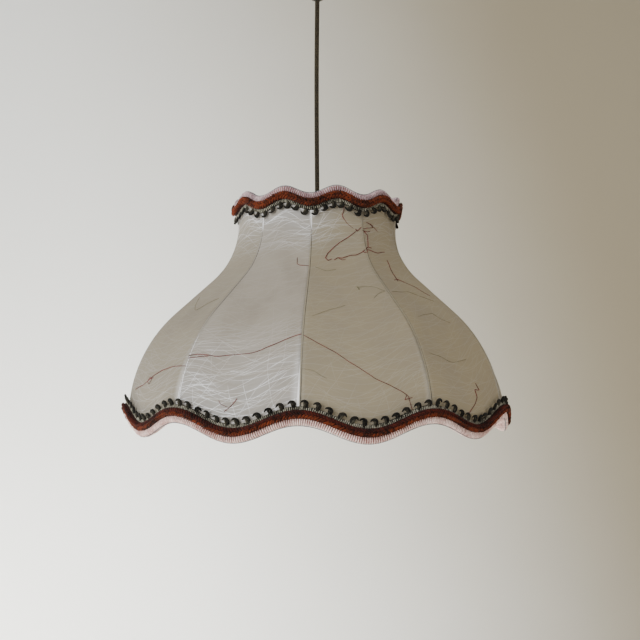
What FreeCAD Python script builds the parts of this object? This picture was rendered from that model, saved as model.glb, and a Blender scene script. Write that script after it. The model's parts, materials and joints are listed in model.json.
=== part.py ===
import FreeCAD, Part
import math
import os

from FreeCAD import Vector

# Pendant lamp: a scalloped bell-shaped shade of ten fibre-paper panels on a wire frame, hung from a
# ceiling cup on a textile cord.  Millimetres, +Z up.  The origin is the middle of the bracket's flat
# face, where it meets the ceiling, so every height is negative.

# ---------------------------------------------------------------- driving dimensions: the shade
PANEL_COUNT = 10
FIRST_RIB_ANGLE = -4.6  # degrees, from the front (-Y) towards +X
NECK_RADIUS = 86.2  # outside of the paper at a rib, in the neck
RIM_RADIUS = 200.4  # the same at the bottom rim
FLARE_RADIUS = 80.5  # hollow curve under the neck
BELLY_RADIUS = 144.4  # round curve above the rim
SLOPE_ANGLE = 48.0  # of the straight stretch between them, from the vertical
FLARE_TOP_Z = -311.4  # where the neck starts to flare
TOP_RING_Z = -294.0  # middle of the top ring's wire at a rib
SHADE_HEIGHT = 214.0  # from there down to the middle of the bottom ring's wire
TOP_WAVE = 8.3  # the ring rises this much between two ribs
BOTTOM_WAVE = 17.0  # the ring drops this much between two ribs
RING_BULGE = 0.3  # share of the flat panel's pull-in that is left at the rings
ROUNDING_START = 0.35  # share of the half height where the plan shape starts to round
ROUNDING_END = 0.9  # and where it is as round as the ring
PAPER = 0.4
RIB_WIRE_RADIUS = 1.5
RING_WIRE_RADIUS = 1.75
GLUE_GAP = 0.15  # between the paper and the wires
TRIM_GAP = 0.4  # between the paper and the trims
PANEL_STRIPS = 6  # a panel is lofted through one more cross-section than this
PANEL_STATIONS = 20
RING_STRIPS = 8

# ---------------------------------------------------------------- driving dimensions: the trims
TOP_EDGE_RISE = 3.65  # of the edge band above the ring's wire
TOP_BRAID_HEIGHT = 7.6
TOP_PICOT_HEIGHT = 7.0
TOP_BRAID_DEPTH = 7.8
BOTTOM_EDGE_RISE = 3.05
BOTTOM_BRAID_HEIGHT = 6.2
BOTTOM_PICOT_HEIGHT = 10.0
BOTTOM_BRAID_DEPTH = 8.6
EDGE_DEPTH = 5.4
EDGE_SHOULDER = 2.4  # the band's outer corner is cut back this much
EDGE_SHOULDER_DROP = 1.9
PICOT_DEPTH = 4.0
BAND_GAP = 0.2  # between two bands of one trim
RING_COVER = 0.9  # between the ring's wire and the band that goes over it
COVER_START = 0.5  # outwards from the middle of the ring's wire
CURL_START = 2.0  # inwards from the paper's face, where the band turns down
CURL_OVERHANG = 4.95  # past the inner side of the ring's wire
CURL_DROP = 4.9
CURL_LIP = Vector(1.6, 0, 1.68)  # across and down the cut end of the curl

# ---------------------------------------------------------------- driving dimensions: the cord
CORD_RADIUS = 2.5
CORD_CLEARANCE = 0.1
CORE_RADIUS = 1.1
CORE_GAP = 0.1  # between the two cores of the cord
CORE_BOW = [(-3.5, 2.4, 0.385), (-4.0, 4.2, 0.73)]  # x, y and share of the way up to the terminals
CORE_LEAD = 4.0  # straight stretch in front of a terminal
CORE_DEPTH = 6.0  # of a core's end in its terminal
CUT_END = 1.0  # the clamped cord stands this much out of the grip
STRIP_GAP = 0.5  # from there to the start of the cores
SWING_LIMIT = 20.0  # degrees either way
SWING_MARGIN = 6.0  # degrees
CORD_ROUTE_OFFSETS = [(-0.9, 0.2, 0.28), (-0.7, -0.3, 0.66)]  # x, y and share of the way down
CORD_LEAD = 2.0  # the cord is straight from this height above the lampholder
SEAT = 2.0  # depth of the cord's end, and of its pivot, in the mouth of a grip

# ---------------------------------------------------------------- driving dimensions: ceiling fitting
CUP_RADIUS = 50.0
CUP_HEIGHT = 45.0
CUP_WALL = 1.2
CUP_RIM_GAP = 0.5
CUP_SHOULDER = 12.0
STRAP_THICKNESS = 2.0
STRAP_WIDTH = 16.0
EAR_DROP = 15.0
EAR_GAP = 2.2  # from an ear to the cup's wall
SLOT_SPACING = 60.0
SLOT_LENGTH = 12.0
SLOT_RADIUS = 2.5
SIDE_SCREW_RADIUS = 2.0
SIDE_SCREW_Z = -9.5
SIDE_HEAD_RADIUS = 3.8
SIDE_HEAD_HEIGHT = 2.2
SIDE_SLIT = Vector(2.0, 10.0, 0.8)
SIDE_SCREW_REACH = 3.0  # past the ear
SCREW_CLEARANCE = 0.2
HEAD_GAP = 0.1
STUB_RADIUS = 5.0  # M10 x 1 tube of both cord grips
STUB_CLEARANCE = 0.15
GRIP_RADIUS = 7.0
GRIP_FLANGE_RADIUS = 9.0
GRIP_FLANGE = 2.5
GRIP_LENGTH = 15.0
GRIP_ROUNDING = 1.5
FLANGE_ROUNDING = 0.8
CUP_STUB_LENGTH = 8.0
NUT_FLATS = 14.0
NUT_HEIGHT = 3.0
NUT_CLEARANCE = 0.02
LOCK_SCREW_RADIUS = 1.6
LOCK_HEAD_RADIUS = 2.6
LOCK_HEAD_LENGTH = 3.0
LOCK_HEAD_GAP = 0.2
LOCK_RISE = 3.6  # of the ceiling lock screw above the end of the clamped cord
LOCK_DROP = 6.0  # of the other lock screw below the top of the lampholder's grip
LOCK_SLIT = Vector(10.0, 1.6, 0.7)
BLOCK_SIZE = Vector(22.0, 18.0, 15.0)
BLOCK_X = 8.0  # its near face
BLOCK_ROUNDING = 1.2
SLEEVE_RADIUS = 2.6
SLEEVE_BORE = 1.6
SLEEVE_SPACING = 9.0
SLEEVE_INSET = 1.0  # from the block's face
TERMINAL_SCREW_RADIUS = 1.5
TERMINAL_SCREW_INSET = 5.0
TERMINAL_SCREW_SINK = 0.5
BLOCK_SLIT = Vector(4.0, 0.6, 1.2)
FIT = 0.05  # between a pressed-in piece and its seat
PAST = 1.0  # how far a cut runs past what it cuts

# ---------------------------------------------------------------- driving dimensions: lampholder, bulb
HOLDER_TOP_Z = -280.0
HOLDER_GRIP_LENGTH = 12.0
HOLDER_STUB_LENGTH = 8.0
HOLDER_ENTRY = Vector(1.2, 0, 2.5)  # the wider mouth that the cord goes in by: its step and its depth
HOLDER_CAP_HEIGHT = 26.0
HOLDER_CAP_ROUNDING = 10.0
HOLDER_WALL = 1.8
SKIRT_HEIGHT = 34.0
SKIRT_WALL = 4.6
SKIRT_LIP = 2.0
SKIRT_ROUNDING = 1.2
INSERT_HEIGHT = 12.0
INSERT_GAP = 0.1
TERMINAL_PLACE = 8.0  # of a lampholder terminal, from the axis
TERMINAL_HEAD_RADIUS = 3.0
TERMINAL_HEAD_HEIGHT = 1.5
TERMINAL_SCREW_LENGTH = 6.5
TERMINAL_SLIT = Vector(8.0, 0.7, 1.2)
STRIP_WIDTH = 5.0  # of the centre contact
STRIP_LENGTH = 16.0
STRIP_THICKNESS = 0.5
STRIP_START = 10.0
STRIP_DROP = 2.0
SHADE_RING_WIDTH = 8.4
SHADE_RING_HEIGHT = 4.0
SHADE_RING_ROUNDING = 1.0
SHADE_RING_DROP = 8.0  # from the skirt's top to the upper shade ring
FINGER_GROOVES = 12
FINGER_GROOVE_RADIUS = 2.2
FINGER_GROOVE_OFFSET = 1.2
HUB_MARGIN = 4.0  # of the hub round the shade rings
HUB_THICKNESS = 1.5
HUB_CLEARANCE = 0.3
ARM_RADIUS = 1.75
ARM_DROP = 1.2  # the arms meet the top ring this much under its middle
ARM_COUNT = 5
ARM_OVERLAP = 1.0  # of an arm's end into the hub, before it is cut to fit
TOUCHING = 0.01
BULB_CAP_RADIUS = 13.15  # E27 screw cap
BULB_CAP_HEIGHT = 24.0
BULB_CAP_WALL = 0.3
BULB_CAP_LIP = 2.4
BULB_CAP_END = 0.4
BULB_CAP_ROUNDING = 1.0
THREAD_CLEARANCE = 0.2
SHELL_WALL = 0.4
SHELL_GAP = 1.25  # between the thread shell and the skirt's bore
SHELL_LIFT = 6.0
MOUTH_CLEARANCE = 1.15
BULB_RADIUS = 30.0
BULB_LENGTH = 108.0
BULB_NECK_LENGTH = 8.0
BULB_SHOULDER_DROP = 36.0
BULB_NECK_CURVE = 22.0
BULB_SHOULDER_CURVE = 30.0
BULB_NECK_RISE = 6.0  # of the glass inside its cap
GLASS_WALL = 0.8
GLASS_GAP = 0.1
CONTACT_RADIUS = 4.5
CONTACT_HEIGHT = 1.5
CONTACT_ROUNDING = 1.2
CONTACT_TRAVEL = 0.7
CONTACT_RISE = 5.0  # above the cap's rim
INSULATOR_MARGIN = Vector(0.5, 0, 2.5)  # round the contact and inside the cap
INSULATOR_DEPTH = 2.0
STEM_RISE = 5.0
STEM_DROP = 30.0
STEM_OUTLINE = [(9.5, 0.0), (9.5, 2.0), (4.0, 12.0)]  # radius and drop from the top
STEM_TIP_RADIUS = 3.0
STEM_CURVE = 8.0
FILAMENT_GAP = 0.1
FILAMENT_DROP = 16.0
FILAMENT_SAG = 4.0
FILAMENT_RADIUS = 0.5
LEAD_LINE = [(1.6, 0.0), (3.0, 5.0)]  # out from the axis and down
LEAD_SPREAD = 12.0
LEAD_RADIUS = 0.35
SUPPORT_RADIUS = 0.3
SUPPORT_SHORTFALL = 0.3

# ---------------------------------------------------------------- what follows from them
BOTTOM_RING_Z = TOP_RING_Z - SHADE_HEIGHT
CUP_BOTTOM_Z = -CUP_HEIGHT
GRIP_BOTTOM_Z = CUP_BOTTOM_Z - GRIP_LENGTH
PIVOT_Z = GRIP_BOTTOM_Z + SEAT
CLAMPED_END_Z = PIVOT_Z + CORD_RADIUS + CORD_CLEARANCE
GRIP_TOP_Z = CUP_BOTTOM_Z + CUP_STUB_LENGTH
LOCK_SCREW_Z = CLAMPED_END_Z + LOCK_RISE
HOLDER_GRIP_BOTTOM_Z = HOLDER_TOP_Z - HOLDER_GRIP_LENGTH
CORD_END_Z = HOLDER_GRIP_BOTTOM_Z + SEAT
HOLDER_STUB_END_Z = HOLDER_GRIP_BOTTOM_Z - HOLDER_STUB_LENGTH
SKIRT_TOP_Z = HOLDER_GRIP_BOTTOM_Z - HOLDER_CAP_HEIGHT
INSERT_TOP_Z = SKIRT_TOP_Z + INSERT_HEIGHT
SKIRT_BOTTOM_Z = SKIRT_TOP_Z - SKIRT_HEIGHT
HUB_TOP_Z = SKIRT_TOP_Z - SHADE_RING_DROP - SHADE_RING_HEIGHT
CONTACT_STRIP_Z = SKIRT_TOP_Z - STRIP_DROP
BULB_TOP_Z = CONTACT_STRIP_Z - CONTACT_TRAVEL
BULB_CAP_TOP_Z = BULB_TOP_Z - CONTACT_RISE
BULB_CAP_BOTTOM_Z = BULB_CAP_TOP_Z - BULB_CAP_HEIGHT
BULB_BOTTOM_Z = BULB_TOP_Z - BULB_LENGTH
SHELL_BORE = BULB_CAP_RADIUS + THREAD_CLEARANCE
SKIRT_BORE = SHELL_BORE + SHELL_WALL + SHELL_GAP
MOUTH_RADIUS = BULB_CAP_RADIUS + MOUTH_CLEARANCE
HOLDER_RADIUS = SKIRT_BORE + SKIRT_WALL
SHADE_RING_RADIUS = HOLDER_RADIUS + SHADE_RING_WIDTH
HUB_RADIUS = SHADE_RING_RADIUS + HUB_MARGIN
EAR_REACH = CUP_RADIUS - CUP_WALL - EAR_GAP
CORE_PLACE = CORE_RADIUS + CORE_GAP / 2

PANEL_ANGLE = 360.0 / PANEL_COUNT
CHORD = math.cos(math.radians(PANEL_ANGLE / 2))
SLOPE = math.radians(SLOPE_ANGLE)
RIB_INSET = PAPER + GLUE_GAP + RIB_WIRE_RADIUS / CHORD
RING_INSET = PAPER + GLUE_GAP + RING_WIRE_RADIUS
AXIS = Vector(0, 0, 1)
ORIGIN = Vector(0, 0, 0)
ARC_SHARE = 0.45  # of the shorter run, on each side of a corner of a cord or a core
STRAIGHT = 1e-5  # radians
SAME_PLACE = 1e-6


# ---------------------------------------------------------------- general shapes
def rounded_wire(points, radii=None, closed=False):
    """Straight runs joined by tangent arcs.  With no radii, each arc is as large as its runs allow."""
    count = len(points)
    corners = range(count) if closed else range(1, count - 1)
    starts = list(points)
    ends = list(points)
    arcs = {}
    for i in corners:
        here = points[i]
        back = points[i - 1] - here
        ahead = points[(i + 1) % count] - here
        turn = math.pi - back.getAngle(ahead)
        if turn < STRAIGHT or (radii and not radii[i]):
            continue
        reach = radii[i] * math.tan(turn / 2) if radii else ARC_SHARE * min(back.Length, ahead.Length)
        radius = reach / math.tan(turn / 2)
        back.normalize()
        ahead.normalize()
        inward = (back + ahead).normalize()
        middle = here + inward * (radius / math.cos(turn / 2) - radius)
        starts[i] = here + back * reach
        ends[i] = here + ahead * reach
        arcs[i] = (Part.Arc(starts[i], middle, ends[i]).toShape(), radius)
    edges = []
    for i in range(count):
        if i in arcs:
            edges.append(arcs[i][0])
        if i < count - 1 or closed:
            a = ends[i]
            b = starts[(i + 1) % count]
            if a.distanceToPoint(b) > SAME_PLACE:
                edges.append(Part.LineSegment(a, b).toShape())
    return Part.Wire(edges), [arcs[i][1] for i in arcs]


def tube(path, radius):
    """A round bar along a wire that starts with a straight or curved edge."""
    first = path.OrderedEdges[0]
    start = first.valueAt(first.FirstParameter)
    heading = first.tangentAt(first.FirstParameter)
    if first.Orientation == "Reversed":
        start = first.valueAt(first.LastParameter)
        heading = first.tangentAt(first.LastParameter) * -1
    section = Part.Wire(Part.makeCircle(radius, start, heading))
    return path.makePipeShell([section], True, False)


def lathe(points, radii=None):
    """Turn a closed outline of (radius, height) points about the lamp's axis."""
    wire, _ = rounded_wire([Vector(r, 0, z) for r, z in points], radii or [0] * len(points), True)
    return Part.Face(wire).revolve(ORIGIN, AXIS, 360)


def slit(size, middle):
    """The slot of a screw head, as a box about its middle."""
    return Part.makeBox(size.x, size.y, size.z, middle - size * 0.5)


def rod(radius, start, end):
    heading = end - start
    return Part.makeCylinder(radius, heading.Length, start, heading)


def sleeve(outer, inner, top, bottom):
    return lathe([(inner, top), (outer, top), (outer, bottom), (inner, bottom)])


def spot(angle, radius, height):
    """A point at an angle from the front (-Y) towards +X."""
    a = math.radians(angle)
    return Vector(radius * math.sin(a), -radius * math.cos(a), height)


def copies_round(shape, count, step):
    made = []
    for i in range(count):
        piece = shape.copy()
        piece.rotate(ORIGIN, AXIS, i * step)
        made.append(piece)
    return made


# ---------------------------------------------------------------- the bell
def flare_bottom_z(inset):
    return FLARE_TOP_Z - (FLARE_RADIUS + inset) * math.sin(SLOPE)


def belly_centre_z():
    """Height where the belly turns vertical."""
    flare_out = NECK_RADIUS + FLARE_RADIUS * (1 - math.cos(SLOPE))
    belly_out = RIM_RADIUS - BELLY_RADIUS * (1 - math.cos(SLOPE))
    slope_drop = (belly_out - flare_out) / math.tan(SLOPE)
    return flare_bottom_z(0) - slope_drop - BELLY_RADIUS * math.sin(SLOPE)


def bell_radius(z, inset):
    """Radius at a rib, at a height, of the bell's surface moved inwards by inset along its normal."""
    belly_z = belly_centre_z()
    if z >= FLARE_TOP_Z:
        return NECK_RADIUS - inset
    if z >= flare_bottom_z(inset):
        drop = FLARE_TOP_Z - z
        return NECK_RADIUS + FLARE_RADIUS - math.sqrt((FLARE_RADIUS + inset) ** 2 - drop ** 2)
    belly_top = belly_z + (BELLY_RADIUS - inset) * math.sin(SLOPE)
    if z >= belly_top:
        tangent = NECK_RADIUS + FLARE_RADIUS - (FLARE_RADIUS + inset) * math.cos(SLOPE)
        return tangent + (flare_bottom_z(inset) - z) * math.tan(SLOPE)
    if z >= belly_z:
        return RIM_RADIUS - BELLY_RADIUS + math.sqrt((BELLY_RADIUS - inset) ** 2 - (z - belly_z) ** 2)
    return RIM_RADIUS - inset


def wave(off_rib):
    """0 at a rib and 1 half way between two ribs."""
    return (1 - math.cos(math.radians(off_rib * PANEL_COUNT))) / 2


def ring_z(off_rib, top):
    if top:
        return TOP_RING_Z + TOP_WAVE * wave(off_rib)
    return BOTTOM_RING_Z - BOTTOM_WAVE * wave(off_rib)


def pull_in(off_rib, share):
    """Plan shape between two ribs: share 1 is a straight chord, share 0 a circle about the axis."""
    off_middle = math.radians(off_rib - PANEL_ANGLE / 2)
    return 1 - share * (1 - CHORD / math.cos(off_middle))


def panel_share(z):
    """Flat panels in the middle of the bell ease into the rings' rounder plan shape."""
    middle = (TOP_RING_Z + BOTTOM_RING_Z) / 2
    reach = abs(z - middle) / ((TOP_RING_Z - BOTTOM_RING_Z) / 2)
    ease = min(1, max(0, (reach - ROUNDING_START) / (ROUNDING_END - ROUNDING_START)))
    return 1 - (1 - RING_BULGE) * ease * ease * (3 - 2 * ease)


def rib_line():
    """Middle line of a rib: neck, flare, slope, belly and, on a tall shade, an upright rim."""
    inset = RIB_INSET
    turn = SLOPE / 2
    flare_centre = Vector(NECK_RADIUS + FLARE_RADIUS, 0, FLARE_TOP_Z)
    flare = FLARE_RADIUS + inset
    belly_centre = Vector(RIM_RADIUS - BELLY_RADIUS, 0, belly_centre_z())
    belly = BELLY_RADIUS - inset

    def on_flare(angle):
        return flare_centre + Vector(-math.cos(angle), 0, -math.sin(angle)) * flare

    def on_belly(angle):
        return belly_centre + Vector(math.cos(angle), 0, math.sin(angle)) * belly

    edges = [
        Part.LineSegment(Vector(NECK_RADIUS - inset, 0, TOP_RING_Z), on_flare(0)).toShape(),
        Part.Arc(on_flare(0), on_flare(turn), on_flare(SLOPE)).toShape(),
        Part.LineSegment(on_flare(SLOPE), on_belly(SLOPE)).toShape(),
    ]
    lowest = math.asin(max(0, BOTTOM_RING_Z - belly_centre.z) / belly)
    edges.append(Part.Arc(on_belly(SLOPE), on_belly((SLOPE + lowest) / 2), on_belly(lowest)).toShape())
    if belly_centre.z > BOTTOM_RING_Z:
        edges.append(Part.LineSegment(on_belly(0), Vector(RIM_RADIUS - inset, 0, BOTTOM_RING_Z)).toShape())
    return Part.Wire(edges)


def make_rib(number, rings):
    rib = tube(rib_line(), RIB_WIRE_RADIUS)
    rib.rotate(ORIGIN, AXIS, FIRST_RIB_ANGLE - 90 + number * PANEL_ANGLE)
    rib = rib.cut(rings[0]).cut(rings[1])
    return max(rib.Solids, key=lambda solid: solid.Volume)


def panel_strip(angle, off_rib):
    """Closed cross-section of a panel in the radial plane at an angle."""
    top = ring_z(off_rib, True)
    bottom = ring_z(off_rib, False)

    def side(inset):
        points = []
        for i in range(PANEL_STATIONS + 1):
            z = top + (bottom - top) * i / PANEL_STATIONS
            points.append(spot(angle, bell_radius(z, inset) * pull_in(off_rib, panel_share(z)), z))
        return points

    outer = side(0)
    inner = side(PAPER)
    curves = []
    for points in (outer, inner):
        curve = Part.BSplineCurve()
        curve.interpolate(points)
        curves.append(curve.toShape())
    ends = [Part.LineSegment(outer[i], inner[i]).toShape() for i in (0, -1)]
    return Part.Wire(Part.__sortEdges__([curves[0], ends[1], curves[1], ends[0]]))


def make_panel(number):
    first = FIRST_RIB_ANGLE + number * PANEL_ANGLE
    strips = []
    for i in range(PANEL_STRIPS + 1):
        off_rib = PANEL_ANGLE * i / PANEL_STRIPS
        strips.append(panel_strip(first + off_rib, off_rib))
    return Part.makeLoft(strips, True, False)


def scalloped(section, top):
    """A ring that follows the scallops.  section(angle, radius, height) gives its closed outline."""
    face_radius = bell_radius(TOP_RING_Z if top else BOTTOM_RING_Z, 0)
    outlines = []
    for i in range(RING_STRIPS + 1):
        off_rib = PANEL_ANGLE * i / RING_STRIPS
        radius = face_radius * pull_in(off_rib, RING_BULGE)
        outlines.append(section(FIRST_RIB_ANGLE + off_rib, radius, ring_z(off_rib, top)))
    scallop = Part.makeLoft(outlines, True, False)
    pieces = copies_round(scallop, PANEL_COUNT, PANEL_ANGLE)
    return pieces[0].fuse(pieces[1:])


def make_ring(top):
    def section(angle, radius, height):
        heading = spot(angle + 90, 1, 0)
        return Part.Wire(Part.makeCircle(RING_WIRE_RADIUS, spot(angle, radius - RING_INSET, height), heading))

    return scalloped(section, top)


def make_band(outline, top):
    """A trim band.  The outline's points are (out from the paper, away from the paper's edge)."""
    sign = 1 if top else -1

    def section(angle, radius, height):
        points = [spot(angle, radius + out, height + sign * up) for out, up in outline]
        return Part.makePolygon(points + points[:1])

    return scalloped(section, top)


def edge_outline(height):
    """The edge band stands on the paper's face and turns in over the ring."""
    low = BAND_GAP / 2
    over = RING_WIRE_RADIUS + RING_COVER
    reach = RING_INSET + RING_WIRE_RADIUS + CURL_OVERHANG
    end = height - CURL_DROP
    return [
        (TRIM_GAP, low),
        (EDGE_DEPTH, low),
        (EDGE_DEPTH, height - EDGE_SHOULDER_DROP),
        (EDGE_DEPTH - EDGE_SHOULDER, height),
        (-CURL_START, height),
        (-reach, end),
        (-reach + CURL_LIP.x, end - CURL_LIP.z),
        (-RING_INSET + COVER_START, over),
        (TRIM_GAP, over),
    ]


def flat_outline(depth, start, height):
    return [(TRIM_GAP, start), (depth, start), (depth, start - height), (TRIM_GAP, start - height)]


def make_trim(top):
    edge = RING_WIRE_RADIUS + (TOP_EDGE_RISE if top else BOTTOM_EDGE_RISE)
    braid = TOP_BRAID_HEIGHT if top else BOTTOM_BRAID_HEIGHT
    picot = TOP_PICOT_HEIGHT if top else BOTTOM_PICOT_HEIGHT
    depth = TOP_BRAID_DEPTH if top else BOTTOM_BRAID_DEPTH
    braid_start = -BAND_GAP / 2
    picot_start = braid_start - braid - BAND_GAP
    return {
        "edge": make_band(edge_outline(edge), top),
        "braid": make_band(flat_outline(depth, braid_start, braid), top),
        "picot": make_band(flat_outline(PICOT_DEPTH, picot_start, picot), top),
    }


# ---------------------------------------------------------------- spider
def make_hub_ring():
    return sleeve(HUB_RADIUS, HOLDER_RADIUS + HUB_CLEARANCE, HUB_TOP_Z, HUB_TOP_Z - HUB_THICKNESS)


def make_arms(hub, ring, ribs):
    arms = []
    for i in range(ARM_COUNT):
        angle = FIRST_RIB_ANGLE + i * 360.0 / ARM_COUNT
        inner = spot(angle, HUB_RADIUS - ARM_OVERLAP, HUB_TOP_Z - HUB_THICKNESS / 2)
        outer = spot(angle, NECK_RADIUS - RING_INSET, TOP_RING_Z - ARM_DROP)
        arm = rod(ARM_RADIUS, inner, outer).cut(hub).cut(ring)
        for rib in ribs:
            if rib.distToShape(arm)[0] < TOUCHING:
                arm = arm.cut(rib)
        arms.append(max(arm.Solids, key=lambda solid: solid.Volume))
    return Part.makeCompound(arms)


# ---------------------------------------------------------------- ceiling fitting
def make_bracket():
    reach = EAR_REACH
    half = STRAP_WIDTH / 2
    cut = STRAP_THICKNESS + 2 * PAST
    strap = Part.makeBox(2 * reach, STRAP_WIDTH, STRAP_THICKNESS, Vector(-reach, -half, -STRAP_THICKNESS))
    for side in (-1, 1):
        low = reach - STRAP_THICKNESS if side > 0 else -reach
        ear = Part.makeBox(STRAP_THICKNESS, STRAP_WIDTH, EAR_DROP, Vector(low, -half, -EAR_DROP))
        strap = strap.fuse(ear)
        run = SLOT_LENGTH / 2 - SLOT_RADIUS
        middle = side * SLOT_SPACING / 2
        ends = [Vector(middle + s * run, 0, -STRAP_THICKNESS - PAST) for s in (-1, 1)]
        slot = Part.makeBox(2 * run, 2 * SLOT_RADIUS, cut, ends[0] - Vector(0, SLOT_RADIUS, 0))
        for end in ends:
            slot = slot.fuse(Part.makeCylinder(SLOT_RADIUS, cut, end))
        strap = strap.cut(slot.removeSplitter())
        inner = Vector(side * (reach - STRAP_THICKNESS - PAST), 0, SIDE_SCREW_Z)
        strap = strap.cut(rod(SIDE_SCREW_RADIUS, inner, Vector(side * (reach + PAST), 0, SIDE_SCREW_Z)))
    return strap.removeSplitter()


def make_cup():
    rim = -CUP_RIM_GAP
    inner = CUP_RADIUS - CUP_WALL
    hole = STUB_RADIUS + STUB_CLEARANCE
    inner_bottom = CUP_BOTTOM_Z + CUP_WALL
    points = [(inner, rim), (CUP_RADIUS, rim), (CUP_RADIUS, CUP_BOTTOM_Z), (hole, CUP_BOTTOM_Z),
              (hole, inner_bottom), (inner, inner_bottom)]
    cup = lathe(points, [0, 0, CUP_SHOULDER, 0, 0, CUP_SHOULDER - CUP_WALL])
    radius = SIDE_SCREW_RADIUS + SCREW_CLEARANCE
    far = Vector(CUP_RADIUS + PAST, 0, SIDE_SCREW_Z)
    return cup.cut(rod(radius, Vector(-far.x, 0, far.z), far))


def make_side_screws():
    screws = []
    for side in (-1, 1):
        tip = Vector(side * (EAR_REACH - STRAP_THICKNESS - SIDE_SCREW_REACH), 0, SIDE_SCREW_Z)
        seat = Vector(side * (CUP_RADIUS + HEAD_GAP), 0, SIDE_SCREW_Z)
        top = seat + Vector(side * SIDE_HEAD_HEIGHT, 0, 0)
        screw = rod(SIDE_SCREW_RADIUS, tip, seat).fuse(rod(SIDE_HEAD_RADIUS, seat, top))
        screws.append(screw.cut(slit(SIDE_SLIT, top)).removeSplitter())
    return Part.makeCompound(screws)


def swing_mouth(bottom):
    """Clearance cone round the cord's pivot, opening downwards."""
    bore = CORD_RADIUS + CORD_CLEARANCE
    start = PIVOT_Z + CORD_RADIUS * math.sin(math.radians(SWING_LIMIT)) + 2 * CORD_CLEARANCE
    drop = start - bottom + TOUCHING
    flare = bore + drop * math.tan(math.radians(SWING_LIMIT + SWING_MARGIN))
    return Part.makeCone(bore, flare, drop, Vector(0, 0, start), Vector(0, 0, -1))


def lock_hole(z):
    inner = Vector(0, -CORD_RADIUS, z)
    return rod(LOCK_SCREW_RADIUS + SCREW_CLEARANCE / 2, inner, Vector(0, -GRIP_RADIUS - PAST, z))


def make_lock_screw(z, gap):
    tip = Vector(0, -CORD_RADIUS - gap, z)
    seat = Vector(0, -GRIP_RADIUS - LOCK_HEAD_GAP, z)
    top = seat - Vector(0, LOCK_HEAD_LENGTH, 0)
    screw = rod(LOCK_SCREW_RADIUS, tip, seat).fuse(rod(LOCK_HEAD_RADIUS, seat, top))
    return screw.cut(slit(LOCK_SLIT, top)).removeSplitter()


def make_cup_grip():
    bore = CORD_RADIUS + CORD_CLEARANCE
    flange = CUP_BOTTOM_Z - GRIP_FLANGE
    points = [(bore, GRIP_TOP_Z), (STUB_RADIUS, GRIP_TOP_Z), (STUB_RADIUS, CUP_BOTTOM_Z),
              (GRIP_FLANGE_RADIUS, CUP_BOTTOM_Z), (GRIP_FLANGE_RADIUS, flange), (GRIP_RADIUS, flange),
              (GRIP_RADIUS, GRIP_BOTTOM_Z), (bore, GRIP_BOTTOM_Z)]
    grip = lathe(points, [0, 0, 0, 0, FLANGE_ROUNDING, 0, GRIP_ROUNDING, 0])
    return grip.cut(swing_mouth(GRIP_BOTTOM_Z)).cut(lock_hole(LOCK_SCREW_Z))


def make_grip_nut():
    seat = CUP_BOTTOM_Z + CUP_WALL
    corner = NUT_FLATS / 2 / math.cos(math.radians(30))
    corners = [spot(60 * i, corner, seat) for i in range(7)]
    nut = Part.Face(Part.makePolygon(corners)).extrude(AXIS * NUT_HEIGHT)
    bore = STUB_RADIUS + NUT_CLEARANCE
    return nut.cut(Part.makeCylinder(bore, NUT_HEIGHT + 2 * PAST, Vector(0, 0, seat - PAST)))


def sleeve_line(side, start, end):
    y = side * SLEEVE_SPACING / 2
    z = -STRAP_THICKNESS - BLOCK_SIZE.z / 2
    return Vector(BLOCK_X + start, y, z), Vector(BLOCK_X + end, y, z)


def terminal_screw_places():
    places = []
    for side in (-1, 1):
        for along in (TERMINAL_SCREW_INSET, BLOCK_SIZE.x - TERMINAL_SCREW_INSET):
            places.append(sleeve_line(side, along, along)[0])
    return places


def make_terminal_block():
    corner = Vector(BLOCK_X, -BLOCK_SIZE.y / 2, -STRAP_THICKNESS - BLOCK_SIZE.z)
    block = Part.makeBox(BLOCK_SIZE.x, BLOCK_SIZE.y, BLOCK_SIZE.z, corner)
    upright = [edge for edge in block.Edges if abs(edge.tangentAt(0).dot(AXIS)) > 1 - TOUCHING]
    block = block.makeFillet(BLOCK_ROUNDING, upright)
    for side in (-1, 1):
        block = block.cut(rod(SLEEVE_RADIUS + FIT, *sleeve_line(side, -PAST, BLOCK_SIZE.x + PAST)))
    for place in terminal_screw_places():
        hole = rod(TERMINAL_SCREW_RADIUS + SCREW_CLEARANCE, place, place - Vector(0, 0, BLOCK_SIZE.z))
        block = block.cut(hole)
    return block


def make_terminal_sleeves():
    sleeves = []
    for side in (-1, 1):
        outer = rod(SLEEVE_RADIUS, *sleeve_line(side, SLEEVE_INSET, BLOCK_SIZE.x - SLEEVE_INSET))
        sleeves.append(outer.cut(rod(SLEEVE_BORE, *sleeve_line(side, -PAST, BLOCK_SIZE.x + PAST))))
    return Part.makeCompound(sleeves)


def make_terminal_screws():
    screws = []
    for place in terminal_screw_places():
        tip = place - AXIS * (SLEEVE_RADIUS + FIT)
        end = place - AXIS * (BLOCK_SIZE.z / 2 - TERMINAL_SCREW_SINK)
        screws.append(rod(TERMINAL_SCREW_RADIUS, tip, end).cut(slit(BLOCK_SLIT, end)))
    return Part.makeCompound(screws)


def make_clamped_cord():
    return rod(CORD_RADIUS, Vector(0, 0, CLAMPED_END_Z), Vector(0, 0, GRIP_TOP_Z + CUT_END))


def make_ceiling_core(side):
    """A core from the stripped cord to its terminal, led round in a slack bow."""
    sleeve_in, sleeve_end = sleeve_line(side, -CORE_LEAD, CORE_DEPTH)
    start_z = GRIP_TOP_Z + CUT_END + STRIP_GAP
    points = [Vector(0, side * CORE_PLACE, start_z)]
    for x, y, share in CORE_BOW:
        points.append(Vector(x, side * y, start_z + share * (sleeve_in.z - start_z)))
    return tube(rounded_wire(points + [sleeve_in, sleeve_end])[0], CORE_RADIUS)


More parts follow.
